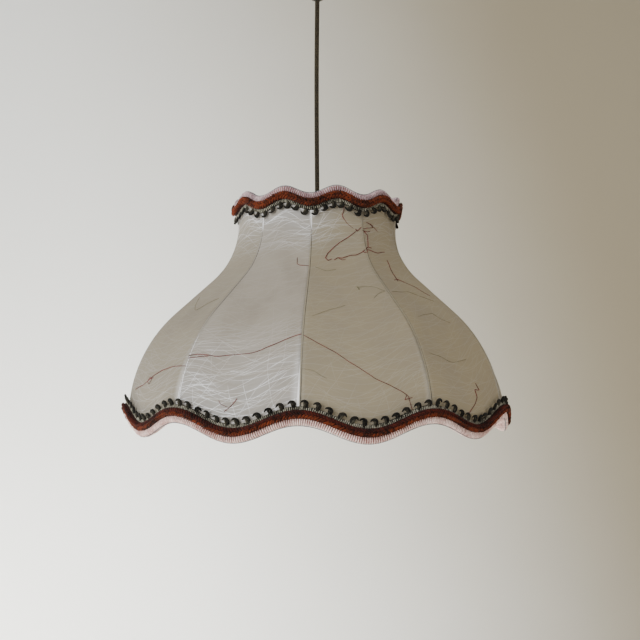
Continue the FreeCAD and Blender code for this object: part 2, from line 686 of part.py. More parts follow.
# ---------------------------------------------------------------- cord
def cord_points():
    length = PIVOT_Z - CORD_END_Z
    points = [Vector(0, 0, PIVOT_Z)]
    for x, y, share in CORD_ROUTE_OFFSETS:
        points.append(Vector(x, y, PIVOT_Z - share * length))
    points.append(Vector(0, 0, HOLDER_TOP_Z + CORD_LEAD))
    points.append(Vector(0, 0, CORD_END_Z))
    return points


def make_cord():
    points = cord_points()
    path, radii = rounded_wire(points)
    cord = tube(path, CORD_RADIUS)
    expected = math.pi * CORD_RADIUS ** 2 * path.Length
    print("cord length %.1f mm, volume %.4f of section times length" % (path.Length, cord.Volume / expected))
    print("cord radii", ["%.0f mm" % radius for radius in radii])
    return cord.fuse(Part.makeSphere(CORD_RADIUS, Vector(0, 0, PIVOT_Z))).removeSplitter()


# ---------------------------------------------------------------- lampholder
def make_holder_grip():
    bore = CORD_RADIUS + CORD_CLEARANCE
    points = [(bore + HOLDER_ENTRY.x, HOLDER_TOP_Z), (GRIP_RADIUS, HOLDER_TOP_Z),
              (GRIP_RADIUS, HOLDER_GRIP_BOTTOM_Z), (STUB_RADIUS, HOLDER_GRIP_BOTTOM_Z),
              (STUB_RADIUS, HOLDER_STUB_END_Z), (bore, HOLDER_STUB_END_Z),
              (bore, HOLDER_TOP_Z - HOLDER_ENTRY.z)]
    grip = lathe(points, [0, GRIP_ROUNDING, 0, 0, 0, 0, 0])
    return grip.cut(lock_hole(HOLDER_TOP_Z - LOCK_DROP))


def make_holder_cap():
    top = HOLDER_GRIP_BOTTOM_Z
    hole = STUB_RADIUS + STUB_CLEARANCE
    inner = HOLDER_RADIUS - HOLDER_WALL
    points = [(hole, top), (HOLDER_RADIUS, top), (HOLDER_RADIUS, SKIRT_TOP_Z), (inner, SKIRT_TOP_Z),
              (inner, top - HOLDER_WALL), (hole, top - HOLDER_WALL)]
    return lathe(points, [0, HOLDER_CAP_ROUNDING, 0, 0, HOLDER_CAP_ROUNDING - HOLDER_WALL, 0])


def make_holder_skirt():
    lip = SKIRT_BOTTOM_Z + SKIRT_LIP
    points = [(SKIRT_BORE, SKIRT_TOP_Z), (HOLDER_RADIUS, SKIRT_TOP_Z), (HOLDER_RADIUS, SKIRT_BOTTOM_Z),
              (MOUTH_RADIUS, SKIRT_BOTTOM_Z), (MOUTH_RADIUS, lip), (SKIRT_BORE, lip)]
    return lathe(points, [0, 0, SKIRT_ROUNDING, 0, 0, 0])


def terminal_place(side):
    return Vector(side * TERMINAL_PLACE, 0, INSERT_TOP_Z)


def make_holder_insert():
    radius = HOLDER_RADIUS - HOLDER_WALL - INSERT_GAP
    body = Part.makeCylinder(radius, INSERT_HEIGHT, Vector(0, 0, SKIRT_TOP_Z))
    for side in (-1, 1):
        place = terminal_place(side)
        depth = TERMINAL_SCREW_LENGTH + TERMINAL_SCREW_SINK
        body = body.cut(rod(TERMINAL_SCREW_RADIUS + FIT, place, place - AXIS * depth))
    return body


def make_holder_terminals():
    screws = []
    for side in (-1, 1):
        place = terminal_place(side)
        top = place + AXIS * TERMINAL_HEAD_HEIGHT
        head = rod(TERMINAL_HEAD_RADIUS, place, top)
        screw = rod(TERMINAL_SCREW_RADIUS, place - AXIS * TERMINAL_SCREW_LENGTH, place).fuse(head)
        screws.append(screw.cut(slit(TERMINAL_SLIT, top)).removeSplitter())
    return Part.makeCompound(screws)


def make_holder_cores():
    cores = []
    for side in (-1, 1):
        over_screw = terminal_place(side) + AXIS * (TERMINAL_HEAD_HEIGHT + CORE_RADIUS + CORE_GAP)
        start = Vector(side * CORE_PLACE, 0, CORD_END_Z - CORE_GAP)
        bend = Vector(side * (CORE_PLACE + CORE_GAP), 0, over_screw.z + CORE_RADIUS / 2)
        cores.append(tube(rounded_wire([start, bend, over_screw])[0], CORE_RADIUS))
    return Part.makeCompound(cores)


def make_centre_contact():
    corner = Vector(-STRIP_WIDTH / 2, -STRIP_START, CONTACT_STRIP_Z - STRIP_THICKNESS)
    tongue = Part.makeBox(STRIP_WIDTH, STRIP_LENGTH, STRIP_THICKNESS, corner)
    foot = Part.makeBox(STRIP_WIDTH, STRIP_THICKNESS, SKIRT_TOP_Z - corner.z, corner)
    return tongue.fuse(foot).removeSplitter()


def make_thread_shell():
    return sleeve(SHELL_BORE + SHELL_WALL, SHELL_BORE, SKIRT_TOP_Z, SKIRT_BOTTOM_Z + SHELL_LIFT)


def make_shade_ring(top):
    """A clamp ring on the skirt's thread, with finger grooves round its edge."""
    inner = HOLDER_RADIUS + FIT
    low = top - SHADE_RING_HEIGHT
    rounding = SHADE_RING_ROUNDING
    ring = lathe([(inner, top), (SHADE_RING_RADIUS, top), (SHADE_RING_RADIUS, low), (inner, low)],
                 [0, rounding, rounding, 0])
    place = Vector(SHADE_RING_RADIUS + FINGER_GROOVE_OFFSET, 0, low - PAST)
    groove = Part.makeCylinder(FINGER_GROOVE_RADIUS, SHADE_RING_HEIGHT + 2 * PAST, place)
    for piece in copies_round(groove, FINGER_GROOVES, 360.0 / FINGER_GROOVES):
        ring = ring.cut(piece)
    return ring


# ---------------------------------------------------------------- bulb
def make_bulb_contact():
    low = BULB_TOP_Z - CONTACT_HEIGHT
    return lathe([(0, BULB_TOP_Z), (CONTACT_RADIUS, BULB_TOP_Z), (CONTACT_RADIUS, low), (0, low)],
                 [0, CONTACT_ROUNDING, 0, 0])


def make_bulb_insulator():
    top = BULB_TOP_Z - CONTACT_HEIGHT
    low = BULB_CAP_TOP_Z - INSULATOR_DEPTH
    outer = BULB_CAP_RADIUS - INSULATOR_MARGIN.z
    return lathe([(0, top), (CONTACT_RADIUS + INSULATOR_MARGIN.x, top), (outer, BULB_CAP_TOP_Z), (outer, low),
                  (0, low)])


def make_bulb_cap():
    low = BULB_CAP_BOTTOM_Z
    inner = BULB_CAP_RADIUS - BULB_CAP_WALL
    lip = BULB_CAP_RADIUS - BULB_CAP_LIP
    under = BULB_CAP_TOP_Z - BULB_CAP_END
    return lathe([(lip, BULB_CAP_TOP_Z), (BULB_CAP_RADIUS, BULB_CAP_TOP_Z), (BULB_CAP_RADIUS, low),
                  (inner, low), (inner, under), (lip, under)],
                 [0, BULB_CAP_ROUNDING, 0, 0, BULB_CAP_ROUNDING - BULB_CAP_END, 0])


def make_bulb_glass():
    neck = BULB_CAP_RADIUS - BULB_CAP_WALL - GLASS_GAP
    top = BULB_CAP_BOTTOM_Z + BULB_NECK_RISE

    def blown(wall):
        widest = BULB_RADIUS - wall
        points = [(0, top), (neck - wall, top), (neck - wall, BULB_CAP_BOTTOM_Z - BULB_NECK_LENGTH),
                  (widest, BULB_CAP_BOTTOM_Z - BULB_SHOULDER_DROP), (widest, BULB_BOTTOM_Z + wall),
                  (0, BULB_BOTTOM_Z + wall)]
        return lathe(points, [0, 0, BULB_NECK_CURVE, BULB_SHOULDER_CURVE, widest, 0])

    return blown(0).cut(blown(GLASS_WALL))


def make_bulb_stem():
    top = BULB_CAP_BOTTOM_Z + STEM_RISE
    low = BULB_CAP_BOTTOM_Z - STEM_DROP
    side = [(radius, top - drop) for radius, drop in STEM_OUTLINE]
    return lathe([(0, top)] + side + [(STEM_TIP_RADIUS, low), (0, low)], [0, 0, 0, STEM_CURVE, 0, 0])


def make_filament():
    start = BULB_CAP_BOTTOM_Z - STEM_DROP - FILAMENT_GAP
    low = start - FILAMENT_DROP
    sag = Vector(0, 0, low - FILAMENT_SAG)
    parts = []
    for side in (-1, 1):
        lead = [Vector(side * out, 0, start - drop) for out, drop in LEAD_LINE]
        lead.append(Vector(side * LEAD_SPREAD, 0, low))
        parts.append(tube(rounded_wire(lead)[0], LEAD_RADIUS))
    glow = Part.Arc(Vector(-LEAD_SPREAD, 0, low), sag, Vector(LEAD_SPREAD, 0, low)).toShape()
    parts.append(tube(Part.Wire([glow]), FILAMENT_RADIUS))
    parts.append(rod(SUPPORT_RADIUS, Vector(0, 0, start), sag + AXIS * SUPPORT_SHORTFALL))
    return parts[0].fuse(parts[1:])


# ---------------------------------------------------------------- all nodes
def make_all():
    top_ring = make_ring(True)
    bottom_ring = make_ring(False)
    hub = make_hub_ring()
    nodes = {
        "ceiling_bracket": make_bracket(),
        "ceiling_cup": make_cup(),
        "cup_side_screws": make_side_screws(),
        "cup_cord_grip": make_cup_grip(),
        "cup_grip_nut": make_grip_nut(),
        "cup_lock_screw": make_lock_screw(LOCK_SCREW_Z, 0),
        "terminal_block": make_terminal_block(),
        "terminal_sleeves": make_terminal_sleeves(),
        "terminal_screws": make_terminal_screws(),
        "cord_clamped_end": make_clamped_cord(),
        "core_live_ceiling": make_ceiling_core(1),
        "core_neutral_ceiling": make_ceiling_core(-1),
        "cord": make_cord(),
        "holder_cord_grip": make_holder_grip(),
        "holder_lock_screw": make_lock_screw(HOLDER_TOP_Z - LOCK_DROP, CORD_CLEARANCE),
        "holder_cap": make_holder_cap(),
        "holder_skirt": make_holder_skirt(),
        "holder_insert": make_holder_insert(),
        "holder_terminals": make_holder_terminals(),
        "holder_cores": make_holder_cores(),
        "centre_contact": make_centre_contact(),
        "thread_shell": make_thread_shell(),
        "shade_ring_upper": make_shade_ring(HUB_TOP_Z + SHADE_RING_HEIGHT),
        "shade_ring_lower": make_shade_ring(HUB_TOP_Z - HUB_THICKNESS),
        "bulb_contact": make_bulb_contact(),
        "bulb_insulator": make_bulb_insulator(),
        "bulb_cap": make_bulb_cap(),
        "bulb_glass": make_bulb_glass(),
        "bulb_stem": make_bulb_stem(),
        "bulb_filament": make_filament(),
        "spider_hub": hub,
        "top_ring": top_ring,
        "bottom_ring": bottom_ring,
    }
    ribs = [make_rib(i, (top_ring, bottom_ring)) for i in range(PANEL_COUNT)]
    nodes["spider_arms"] = make_arms(hub, top_ring, ribs)
    for i, rib in enumerate(ribs):
        nodes["rib_%02d" % (i + 1)] = rib
        nodes["panel_%02d" % (i + 1)] = make_panel(i)
    for place, top in (("top", True), ("bottom", False)):
        for band, shape in make_trim(top).items():
            nodes["trim_%s_%s" % (place, band)] = shape
    return nodes


os.makedirs("parts", exist_ok=True)
made = make_all()
for name, shape in made.items():
    shape.exportStep("parts/%s.step" % name)
    solids = [solid.isValid() for solid in shape.Solids]
    state = "" if all(solids) else "INVALID"
    print("%-22s %2d solids %9.1f mm3 %s" % (name, len(solids), shape.Volume, state))
print(len(made), "nodes")
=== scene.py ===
# %% [markdown]
# # A hanging lamp with a scalloped bell shade
# The real lamp is a wire frame with ten panels of long-fibred translucent paper glued over it.  Both rims
# wear three bands of yarn: pale pink, rust and a grey crochet with little loops.  It hangs on an olive
# textile cord.  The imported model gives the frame, the places and the joints.  This lesson dresses it.
# Everything is in metres, in the frame's own coordinates, with +Z up and the ceiling at height zero.

# %% Load the frame
import json
import math
import random

import bmesh
import bpy
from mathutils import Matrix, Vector, noise


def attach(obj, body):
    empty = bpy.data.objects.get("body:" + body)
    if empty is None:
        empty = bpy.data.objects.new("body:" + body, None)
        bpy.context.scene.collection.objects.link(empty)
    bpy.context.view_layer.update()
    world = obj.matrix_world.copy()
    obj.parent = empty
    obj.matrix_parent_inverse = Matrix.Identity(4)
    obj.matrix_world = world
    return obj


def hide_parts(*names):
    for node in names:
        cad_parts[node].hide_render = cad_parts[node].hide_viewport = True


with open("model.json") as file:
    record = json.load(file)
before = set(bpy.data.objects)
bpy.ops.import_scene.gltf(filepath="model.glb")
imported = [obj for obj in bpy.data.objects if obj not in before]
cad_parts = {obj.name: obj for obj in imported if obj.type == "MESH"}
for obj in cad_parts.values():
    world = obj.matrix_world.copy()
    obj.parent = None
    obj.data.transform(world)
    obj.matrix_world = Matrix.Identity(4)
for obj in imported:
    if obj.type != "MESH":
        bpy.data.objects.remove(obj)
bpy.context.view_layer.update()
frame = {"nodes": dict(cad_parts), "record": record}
MM = 0.001

# %% [markdown]
# ## Camera
# The lamp is seen from a little below its middle, so the camera stands level with the lower part of the
# shade and tilts up by a few degrees.  The lens is a short telephoto, as for a still life.

# %% Camera
CAMERA_DISTANCE = 1.083
CAMERA_HEIGHT = -0.460
camera_data = bpy.data.cameras.new("camera")
camera_data.sensor_width = 36.0
camera_data.lens = 56.25
camera = bpy.data.objects.new("camera", camera_data)
camera.location = (0, -CAMERA_DISTANCE, CAMERA_HEIGHT)
camera.rotation_euler = (math.radians(92.52), 0, math.radians(-0.155))
bpy.context.scene.collection.objects.link(camera)
bpy.context.scene.camera = camera
print("camera at", [round(v, 3) for v in camera.location])


# %% [markdown]
# ## Small helpers for meshes
# `new_piece` turns a bmesh into an object at the origin.  `lay_grid` starts from a flat grid and lays
# each of its points where a function says, which suits everything that follows the bell: the paper and
# the backing of the trims.  Its UV map is given in metres, so a fibre has its real length everywhere.

# %% Mesh helpers
def link(name, data):
    made = bpy.data.objects.new(name, data)
    bpy.context.scene.collection.objects.link(made)
    return made


def new_piece(name, bm):
    mesh = bpy.data.meshes.new(name)
    for face in bm.faces:
        face.smooth = True
    bm.to_mesh(mesh)
    bm.free()
    return link(name, mesh)


def lay_grid(name, columns, rows, place, lengths=(1, 1), closed=False):
    """A grid whose point (u, v), each from 0 to 1, goes to place(u, v)."""
    bm = bmesh.new()
    bm.loops.layers.uv.new("UVMap")
    bmesh.ops.create_grid(bm, x_segments=columns, y_segments=rows, size=0.5, calc_uvs=True)
    uv_layer = bm.loops.layers.uv.active
    flat = {}
    for vert in bm.verts:
        u, v = vert.co.x + 0.5, vert.co.y + 0.5
        flat[vert] = (u, v)
        vert.co = place(u, v)
    for face in bm.faces:
        for loop in face.loops:
            u, v = flat[loop.vert]
            loop[uv_layer].uv = (u * lengths[0], v * lengths[1])
    if closed:
        bmesh.ops.remove_doubles(bm, verts=bm.verts, dist=0.01 * MM)
    return new_piece(name, bm)


def thicken(piece, thickness):
    """Gives a sheet its thickness, inwards from the face that was laid."""
    wall = piece.modifiers.new("thickness", "SOLIDIFY")
    wall.thickness = thickness
    wall.offset = -1.0
    wall.use_even_offset = True


def strands(name, paths, radius, steps=2, closed=False):
    """One mesh of round strands.  A path is a list of (point, girth), where girth scales the radius."""
    curve = bpy.data.curves.new(name, "CURVE")
    curve.dimensions = "3D"
    curve.bevel_depth = radius
    curve.bevel_resolution = 1
    curve.resolution_u = steps
    curve.use_fill_caps = True
    for path in paths:
        spline = curve.splines.new("NURBS")
        spline.points.add(len(path) - 1)
        for control, (point, girth) in zip(spline.points, path):
            control.co = (*point, 1)
            control.radius = girth
        spline.order_u = 3
        spline.use_cyclic_u = closed
        spline.use_endpoint_u = not closed
    laid = link(name + "_line", curve)
    bpy.context.view_layer.update()
    graph = bpy.context.evaluated_depsgraph_get()
    mesh = bpy.data.meshes.new_from_object(laid.evaluated_get(graph))
    bpy.data.objects.remove(laid)
    mesh.name = name
    mesh.polygons.foreach_set("use_smooth", [True] * len(mesh.polygons))
    return link(name, mesh)


def count_triangles(piece):
    return sum(len(face.vertices) - 2 for face in piece.data.polygons)


# %% [markdown]
# ## The bell
# A rib of the frame is a smooth S: a straight neck, a hollow flare, a straight slope and a round belly.
# The paper is stretched over the ribs.  Half way down it lies flat from rib to rib, and towards the rings
# it takes their rounder plan shape.  These few lengths say all of that, and every soft piece uses them.

# %% The bell's shape
PANEL_COUNT = 10
PANEL_ANGLE = math.tau / PANEL_COUNT
FIRST_RIB = math.radians(-4.6)  # from the front towards +X
NECK_RADIUS = 0.0862
RIM_RADIUS = 0.2004
FLARE_RADIUS = 0.0805
BELLY_RADIUS = 0.1444
SLOPE = math.radians(48)
FLARE_TOP = -0.3114
TOP_RING = -0.2940
BOTTOM_RING = -0.5080
TOP_WAVE = 0.0083
BOTTOM_WAVE = 0.0170
RING_BULGE = 0.3
ROUNDING_START = 0.35
ROUNDING_END = 0.9
PAPER = 0.0004

flare_bottom = FLARE_TOP - FLARE_RADIUS * math.sin(SLOPE)
flare_out = NECK_RADIUS + FLARE_RADIUS * (1 - math.cos(SLOPE))
belly_out = RIM_RADIUS - BELLY_RADIUS * (1 - math.cos(SLOPE))
belly_top = flare_bottom - (belly_out - flare_out) / math.tan(SLOPE)
belly_middle = belly_top - BELLY_RADIUS * math.sin(SLOPE)


def rib_radius(z):
    """Radius of the paper's outside at a rib."""
    if z >= FLARE_TOP:
        return NECK_RADIUS
    if z >= flare_bottom:
        return NECK_RADIUS + FLARE_RADIUS - math.sqrt(FLARE_RADIUS ** 2 - (FLARE_TOP - z) ** 2)
    if z >= belly_top:
        return flare_out + (flare_bottom - z) * math.tan(SLOPE)
    if z >= belly_middle:
        return RIM_RADIUS - BELLY_RADIUS + math.sqrt(BELLY_RADIUS ** 2 - (z - belly_middle) ** 2)
    return RIM_RADIUS


def off_rib(angle):
    return (angle - FIRST_RIB) % PANEL_ANGLE


def pull_in(angle, share):
    chord = math.cos(PANEL_ANGLE / 2) / math.cos(off_rib(angle) - PANEL_ANGLE / 2)
    return 1 - share * (1 - chord)


def flatness(z):
    middle = (TOP_RING + BOTTOM_RING) / 2
    reach = abs(z - middle) / ((TOP_RING - BOTTOM_RING) / 2)
    ease = min(1, max(0, (reach - ROUNDING_START) / (ROUNDING_END - ROUNDING_START)))
    return 1 - (1 - RING_BULGE) * ease * ease * (3 - 2 * ease)


def around(angle, radius, z):
    return Vector((radius * math.sin(angle), -radius * math.cos(angle), z))


def on_bell(angle, z, out=0.0):
    """A point over the paper's outside, moved out along the slope's normal."""
    step = MM
    rise = (rib_radius(z - step) - rib_radius(z + step)) / (2 * step)
    length = math.hypot(1, rise)
    radius = rib_radius(z) * pull_in(angle, flatness(z)) + out / length
    return around(angle, radius, z + out * rise / length)


def ring_height(angle, top):
    wave = (1 - math.cos(off_rib(angle) * PANEL_COUNT)) / 2
    return TOP_RING + TOP_WAVE * wave if top else BOTTOM_RING - BOTTOM_WAVE * wave


print("belly turns vertical at", round(belly_middle / MM), "mm")

# %% [markdown]
# ## Materials, in layers
# A finish is built from shared effects, each a node group that puts out a mask, a colour or a height.
# The shader itself stays in the material.  `Recipe` is a short way to add nodes and join them up: an
# input can be a plain value or another node's output.


# %% Node helpers
class Recipe:
    """Adds nodes to one tree.  recipe.add(type, {input: value or socket}, property=value)."""

    def __init__(self, tree):
        self.tree = tree

    def add(self, kind, inputs=None, **settings):
        node = self.tree.nodes.new(kind)
        for key, value in settings.items():
            setattr(node, key, value)
        for key, value in (inputs or {}).items():
            socket = node.inputs[key]
            if isinstance(value, bpy.types.NodeSocket):
                self.tree.links.new(value, socket)
            else:
                socket.default_value = value
        return node

    def math(self, operation, a, b=0.0, clamp=False):
        return self.add("ShaderNodeMath", {0: a, 1: b}, operation=operation, use_clamp=clamp).outputs[0]

    def ramp(self, value, low, high, to_low=0.0, to_high=1.0):
        inputs = {"Value": value, "From Min": low, "From Max": high, "To Min": to_low, "To Max": to_high}
        return self.add("ShaderNodeMapRange", inputs, interpolation_type="SMOOTHSTEP").outputs[0]

    def mix(self, factor, a, b):
        """Mixes two colours.  A colour mix keeps them in its inputs 6 and 7."""
        return self.add("ShaderNodeMix", {0: factor, 6: a, 7: b}, data_type="RGBA").outputs[2]

    def noise(self, vector, scale, detail=2.0, roughness=0.5):
        inputs = {"Vector": vector, "Scale": scale, "Detail": detail, "Roughness": roughness}
        return self.add("ShaderNodeTexNoise", inputs)


def new_group(name, inputs, outputs):
    group = bpy.data.node_groups.new(name, "ShaderNodeTree")
    for label, kind, default in inputs:
        socket = group.interface.new_socket(label, in_out="INPUT", socket_type=kind)
        if default is not None:
            socket.default_value = default
    for label, kind in outputs:
        group.interface.new_socket(label, in_out="OUTPUT", socket_type=kind)
    start = group.nodes.new("NodeGroupInput")
    end = group.nodes.new("NodeGroupOutput")
    return group, Recipe(group), start.outputs, end.inputs


def rgb(red, green, blue):
    """A colour given as it looks on a screen, from 0 to 255, in the shader's linear units."""
    return tuple(((v / 255 + 0.055) / 1.055) ** 2.4 if v > 10 else v / 255 / 12.92
                 for v in (red, green, blue)) + (1.0,)


def new_material(name):
    material = bpy.data.materials.new(name)
    material.use_nodes = True
    material.node_tree.nodes.clear()
    return material, Recipe(material.node_tree)


def use_group(recipe, group, inputs):
    return recipe.add("ShaderNodeGroup", inputs, node_tree=group).outputs


def principled(recipe, **inputs):
    """base_color=... sets the shader's Base Color, and so on."""
    named = {key.replace("_", " ").title().replace("Ior", "IOR"): value for key, value in inputs.items()}
    return recipe.add("ShaderNodeBsdfPrincipled", named)


def finish_surface(recipe, shader_output):
    end = recipe.add("ShaderNodeOutputMaterial")
    recipe.tree.links.new(shader_output, end.inputs["Surface"])


# %% [markdown]
# ## The fibre layer
# Long plant fibres lie in this paper in many directions.  One layer is a set of parallel rows, bent by a
# slow noise so that no fibre is straight, and cut into lengths by a second noise that differs from row to
# row.  Several layers at different angles make the web.  The group puts out only a mask.

# %% Fibre layer group
layer_inputs = [
    ("Vector", "NodeSocketVector", None),
    ("Angle", "NodeSocketFloat", 0.0),
    ("Spacing", "NodeSocketFloat", 0.008),
    ("Width", "NodeSocketFloat", 0.0006),
    ("Length", "NodeSocketFloat", 0.05),
    ("Wander", "NodeSocketFloat", 0.01),
    ("Amount", "NodeSocketFloat", 0.5),
    ("Seed", "NodeSocketFloat", 0.0),
]
fibre_layer, make, given, result = new_group("fibre_layer", layer_inputs, [("Mask", "NodeSocketFloat")])
turned = make.add("ShaderNodeVectorRotate", {"Vector": given["Vector"], "Angle": given["Angle"]},
                  rotation_type="Z_AXIS").outputs[0]
shift = make.add("ShaderNodeCombineXYZ", {0: given["Seed"], 1: given["Seed"]}).outputs[0]
shifted = make.add("ShaderNodeVectorMath", {0: turned, 1: shift}, operation="ADD").outputs[0]
bend = make.noise(shifted, 15.0, 1.0).outputs["Color"]
centred = make.add("ShaderNodeVectorMath", {0: bend, 1: (0.5, 0.5, 0.5)}, operation="SUBTRACT").outputs[0]
moved = make.add("ShaderNodeVectorMath", {0: centred, 3: given["Wander"]}, operation="SCALE").outputs[0]
bent = make.add("ShaderNodeVectorMath", {0: shifted, 1: moved}, operation="ADD").outputs[0]
split = make.add("ShaderNodeSeparateXYZ", {0: bent}).outputs
row_place = make.math("DIVIDE", split["Y"], given["Spacing"])
row = make.math("FLOOR", row_place)
across = make.math("SUBTRACT", make.math("FRACT", row_place), 0.5)
row_luck = make.add("ShaderNodeTexWhiteNoise", {"W": row}, noise_dimensions="1D").outputs["Value"]
row_shift = make.math("MULTIPLY", make.math("SUBTRACT", row_luck, 0.5), 0.6)
distance = make.math("MULTIPLY", make.math("ABSOLUTE", make.math("SUBTRACT", across, row_shift)),
                     given["Spacing"])
half_width = make.math("MULTIPLY", given["Width"], 0.5)
core = make.math("MULTIPLY", half_width, 0.3)
line = make.ramp(distance, core, half_width, 1.0, 0.0)
along = make.math("DIVIDE", split["X"], given["Length"])
stretch = make.add("ShaderNodeCombineXYZ", {0: along, 1: make.math("MULTIPLY", row, 7.31)}).outputs[0]
piece_luck = make.noise(stretch, 1.0, 0.0).outputs["Fac"]
threshold = make.math("SUBTRACT", 1.0, given["Amount"])
run = make.ramp(piece_luck, threshold, make.math("ADD", threshold, 0.06))
make.tree.links.new(make.math("MULTIPLY", line, run), result["Mask"])
print("fibre layer:", len(fibre_layer.nodes), "nodes")

# %% [markdown]
# ## The paper's web of fibres
# The fibres lie mostly along the sheet, with a few strays across it.  They are joined with a maximum,
# because fibres that cross don't get brighter than one fibre.  A slow cloudiness stands for the uneven
# pulp, and a stretched one for the way that the pulp was combed when the sheet was made.

# %% Paper web group
web_outputs = [("Web", "NodeSocketFloat"), ("Cloud", "NodeSocketFloat"), ("Combed", "NodeSocketFloat")]
paper_web, make, given, result = new_group("paper_web", [("Vector", "NodeSocketVector", None)], web_outputs)
web_layers = [  # angle, spacing, width, length, wander, amount: radians and metres
    (-0.08, 0.0085, 0.00070, 0.090, 0.006, 0.54),
    (0.14, 0.0080, 0.00060, 0.080, 0.007, 0.52),
    (-0.30, 0.0075, 0.00075, 0.100, 0.005, 0.55),
    (-0.42, 0.0095, 0.00065, 0.090, 0.006, 0.53),
    (-0.20, 0.0060, 0.00050, 0.070, 0.007, 0.52),
    (0.03, 0.0055, 0.00045, 0.070, 0.008, 0.51),
    (0.40, 0.0120, 0.00055, 0.070, 0.010, 0.50),
    (-0.75, 0.0100, 0.00055, 0.060, 0.012, 0.50),
    (-1.10, 0.0140, 0.00050, 0.060, 0.016, 0.49),
    (1.35, 0.0170, 0.00050, 0.060, 0.018, 0.48),
]
web = None
for number, (angle, spacing, width, length, wander, amount) in enumerate(web_layers):
    mask = use_group(make, fibre_layer, {
        "Vector": given["Vector"], "Angle": angle, "Spacing": spacing, "Width": width,
        "Length": length, "Wander": wander, "Amount": amount, "Seed": 3.7 * number + 1.3})[0]
    web = mask if web is None else make.math("MAXIMUM", web, mask)
make.tree.links.new(web, result["Web"])
make.tree.links.new(make.noise(given["Vector"], 22.0, 4.0, 0.6).outputs["Fac"], result["Cloud"])
combing = make.add("ShaderNodeVectorMath", {0: given["Vector"], 1: (18.0, 120.0, 1.0)}, operation="MULTIPLY")
make.tree.links.new(make.noise(combing.outputs[0], 1.0, 4.0, 0.6).outputs["Fac"], result["Combed"])
print("paper web:", len(web_layers), "layers")

# %% [markdown]
# ## The paper
# Light both bounces off the paper and comes through it, so a Principled shader is mixed with a
# Translucent one.  Fibres are paler and stand up a little.  Beside a seam runs a pale strip, partly the
# lap's doubled paper and partly a painted highlight, with a painted halo of light towards the rim, and
# over it a dark line, the painted shadow of the rib behind the paper with the lap's edge.  The strip and
# the long fibres have a faint glow, which stands for daylight behind them.  Each panel's attributes paint
# its light and shade: a pale painted backlight near the neck and the rim, which also brings out more
# fibres, how warm or cool the light on it is, how strong the glow along its seam is, and where the
# painted rib shadow stops.

# %% Paper material
# The next two pulp colours are one paper painted as lit by the cool window and by the warm room light.
PULP_WINDOW_LIT = rgb(174, 165, 151)
PULP_ROOM_LIT = rgb(160, 148, 121)
PULP_DARK = rgb(152, 142, 124)
FIBRE_COLOR = rgb(250, 250, 252)
# Painted light: the paler colour of the paper where daylight is painted as coming through it.
BACKLIGHT_COLOR = rgb(194, 193, 194)
# Painted shadow: the colour of a rib and the lap's edge seen through the paper.
RIB_SHADOW_COLOR = rgb(66, 61, 46)
# The lap's doubled paper, with a painted highlight and glow along the seam.
SEAM_LAP_AND_HIGHLIGHT = rgb(252, 252, 252)
BLACK = (0, 0, 0, 1)
# Painted light: the reach of the pale halo beside a seam.
HALO_REACH = 0.008  # of the pale haze beside a seam
# The next two bound the painted shadow line along a rib.
LINE_EDGE = 0.0018  # where the dark line of a seam fades out
LINE_CORE = 0.0010
DAYLIGHT = 0.45  # strength of the faint glow
THROUGH = 0.4  # share of the light that comes through the paper
PANEL_MARKS = ("neck_backlight", "rim_backlight", "room_light_share", "glow", "short_shadow")


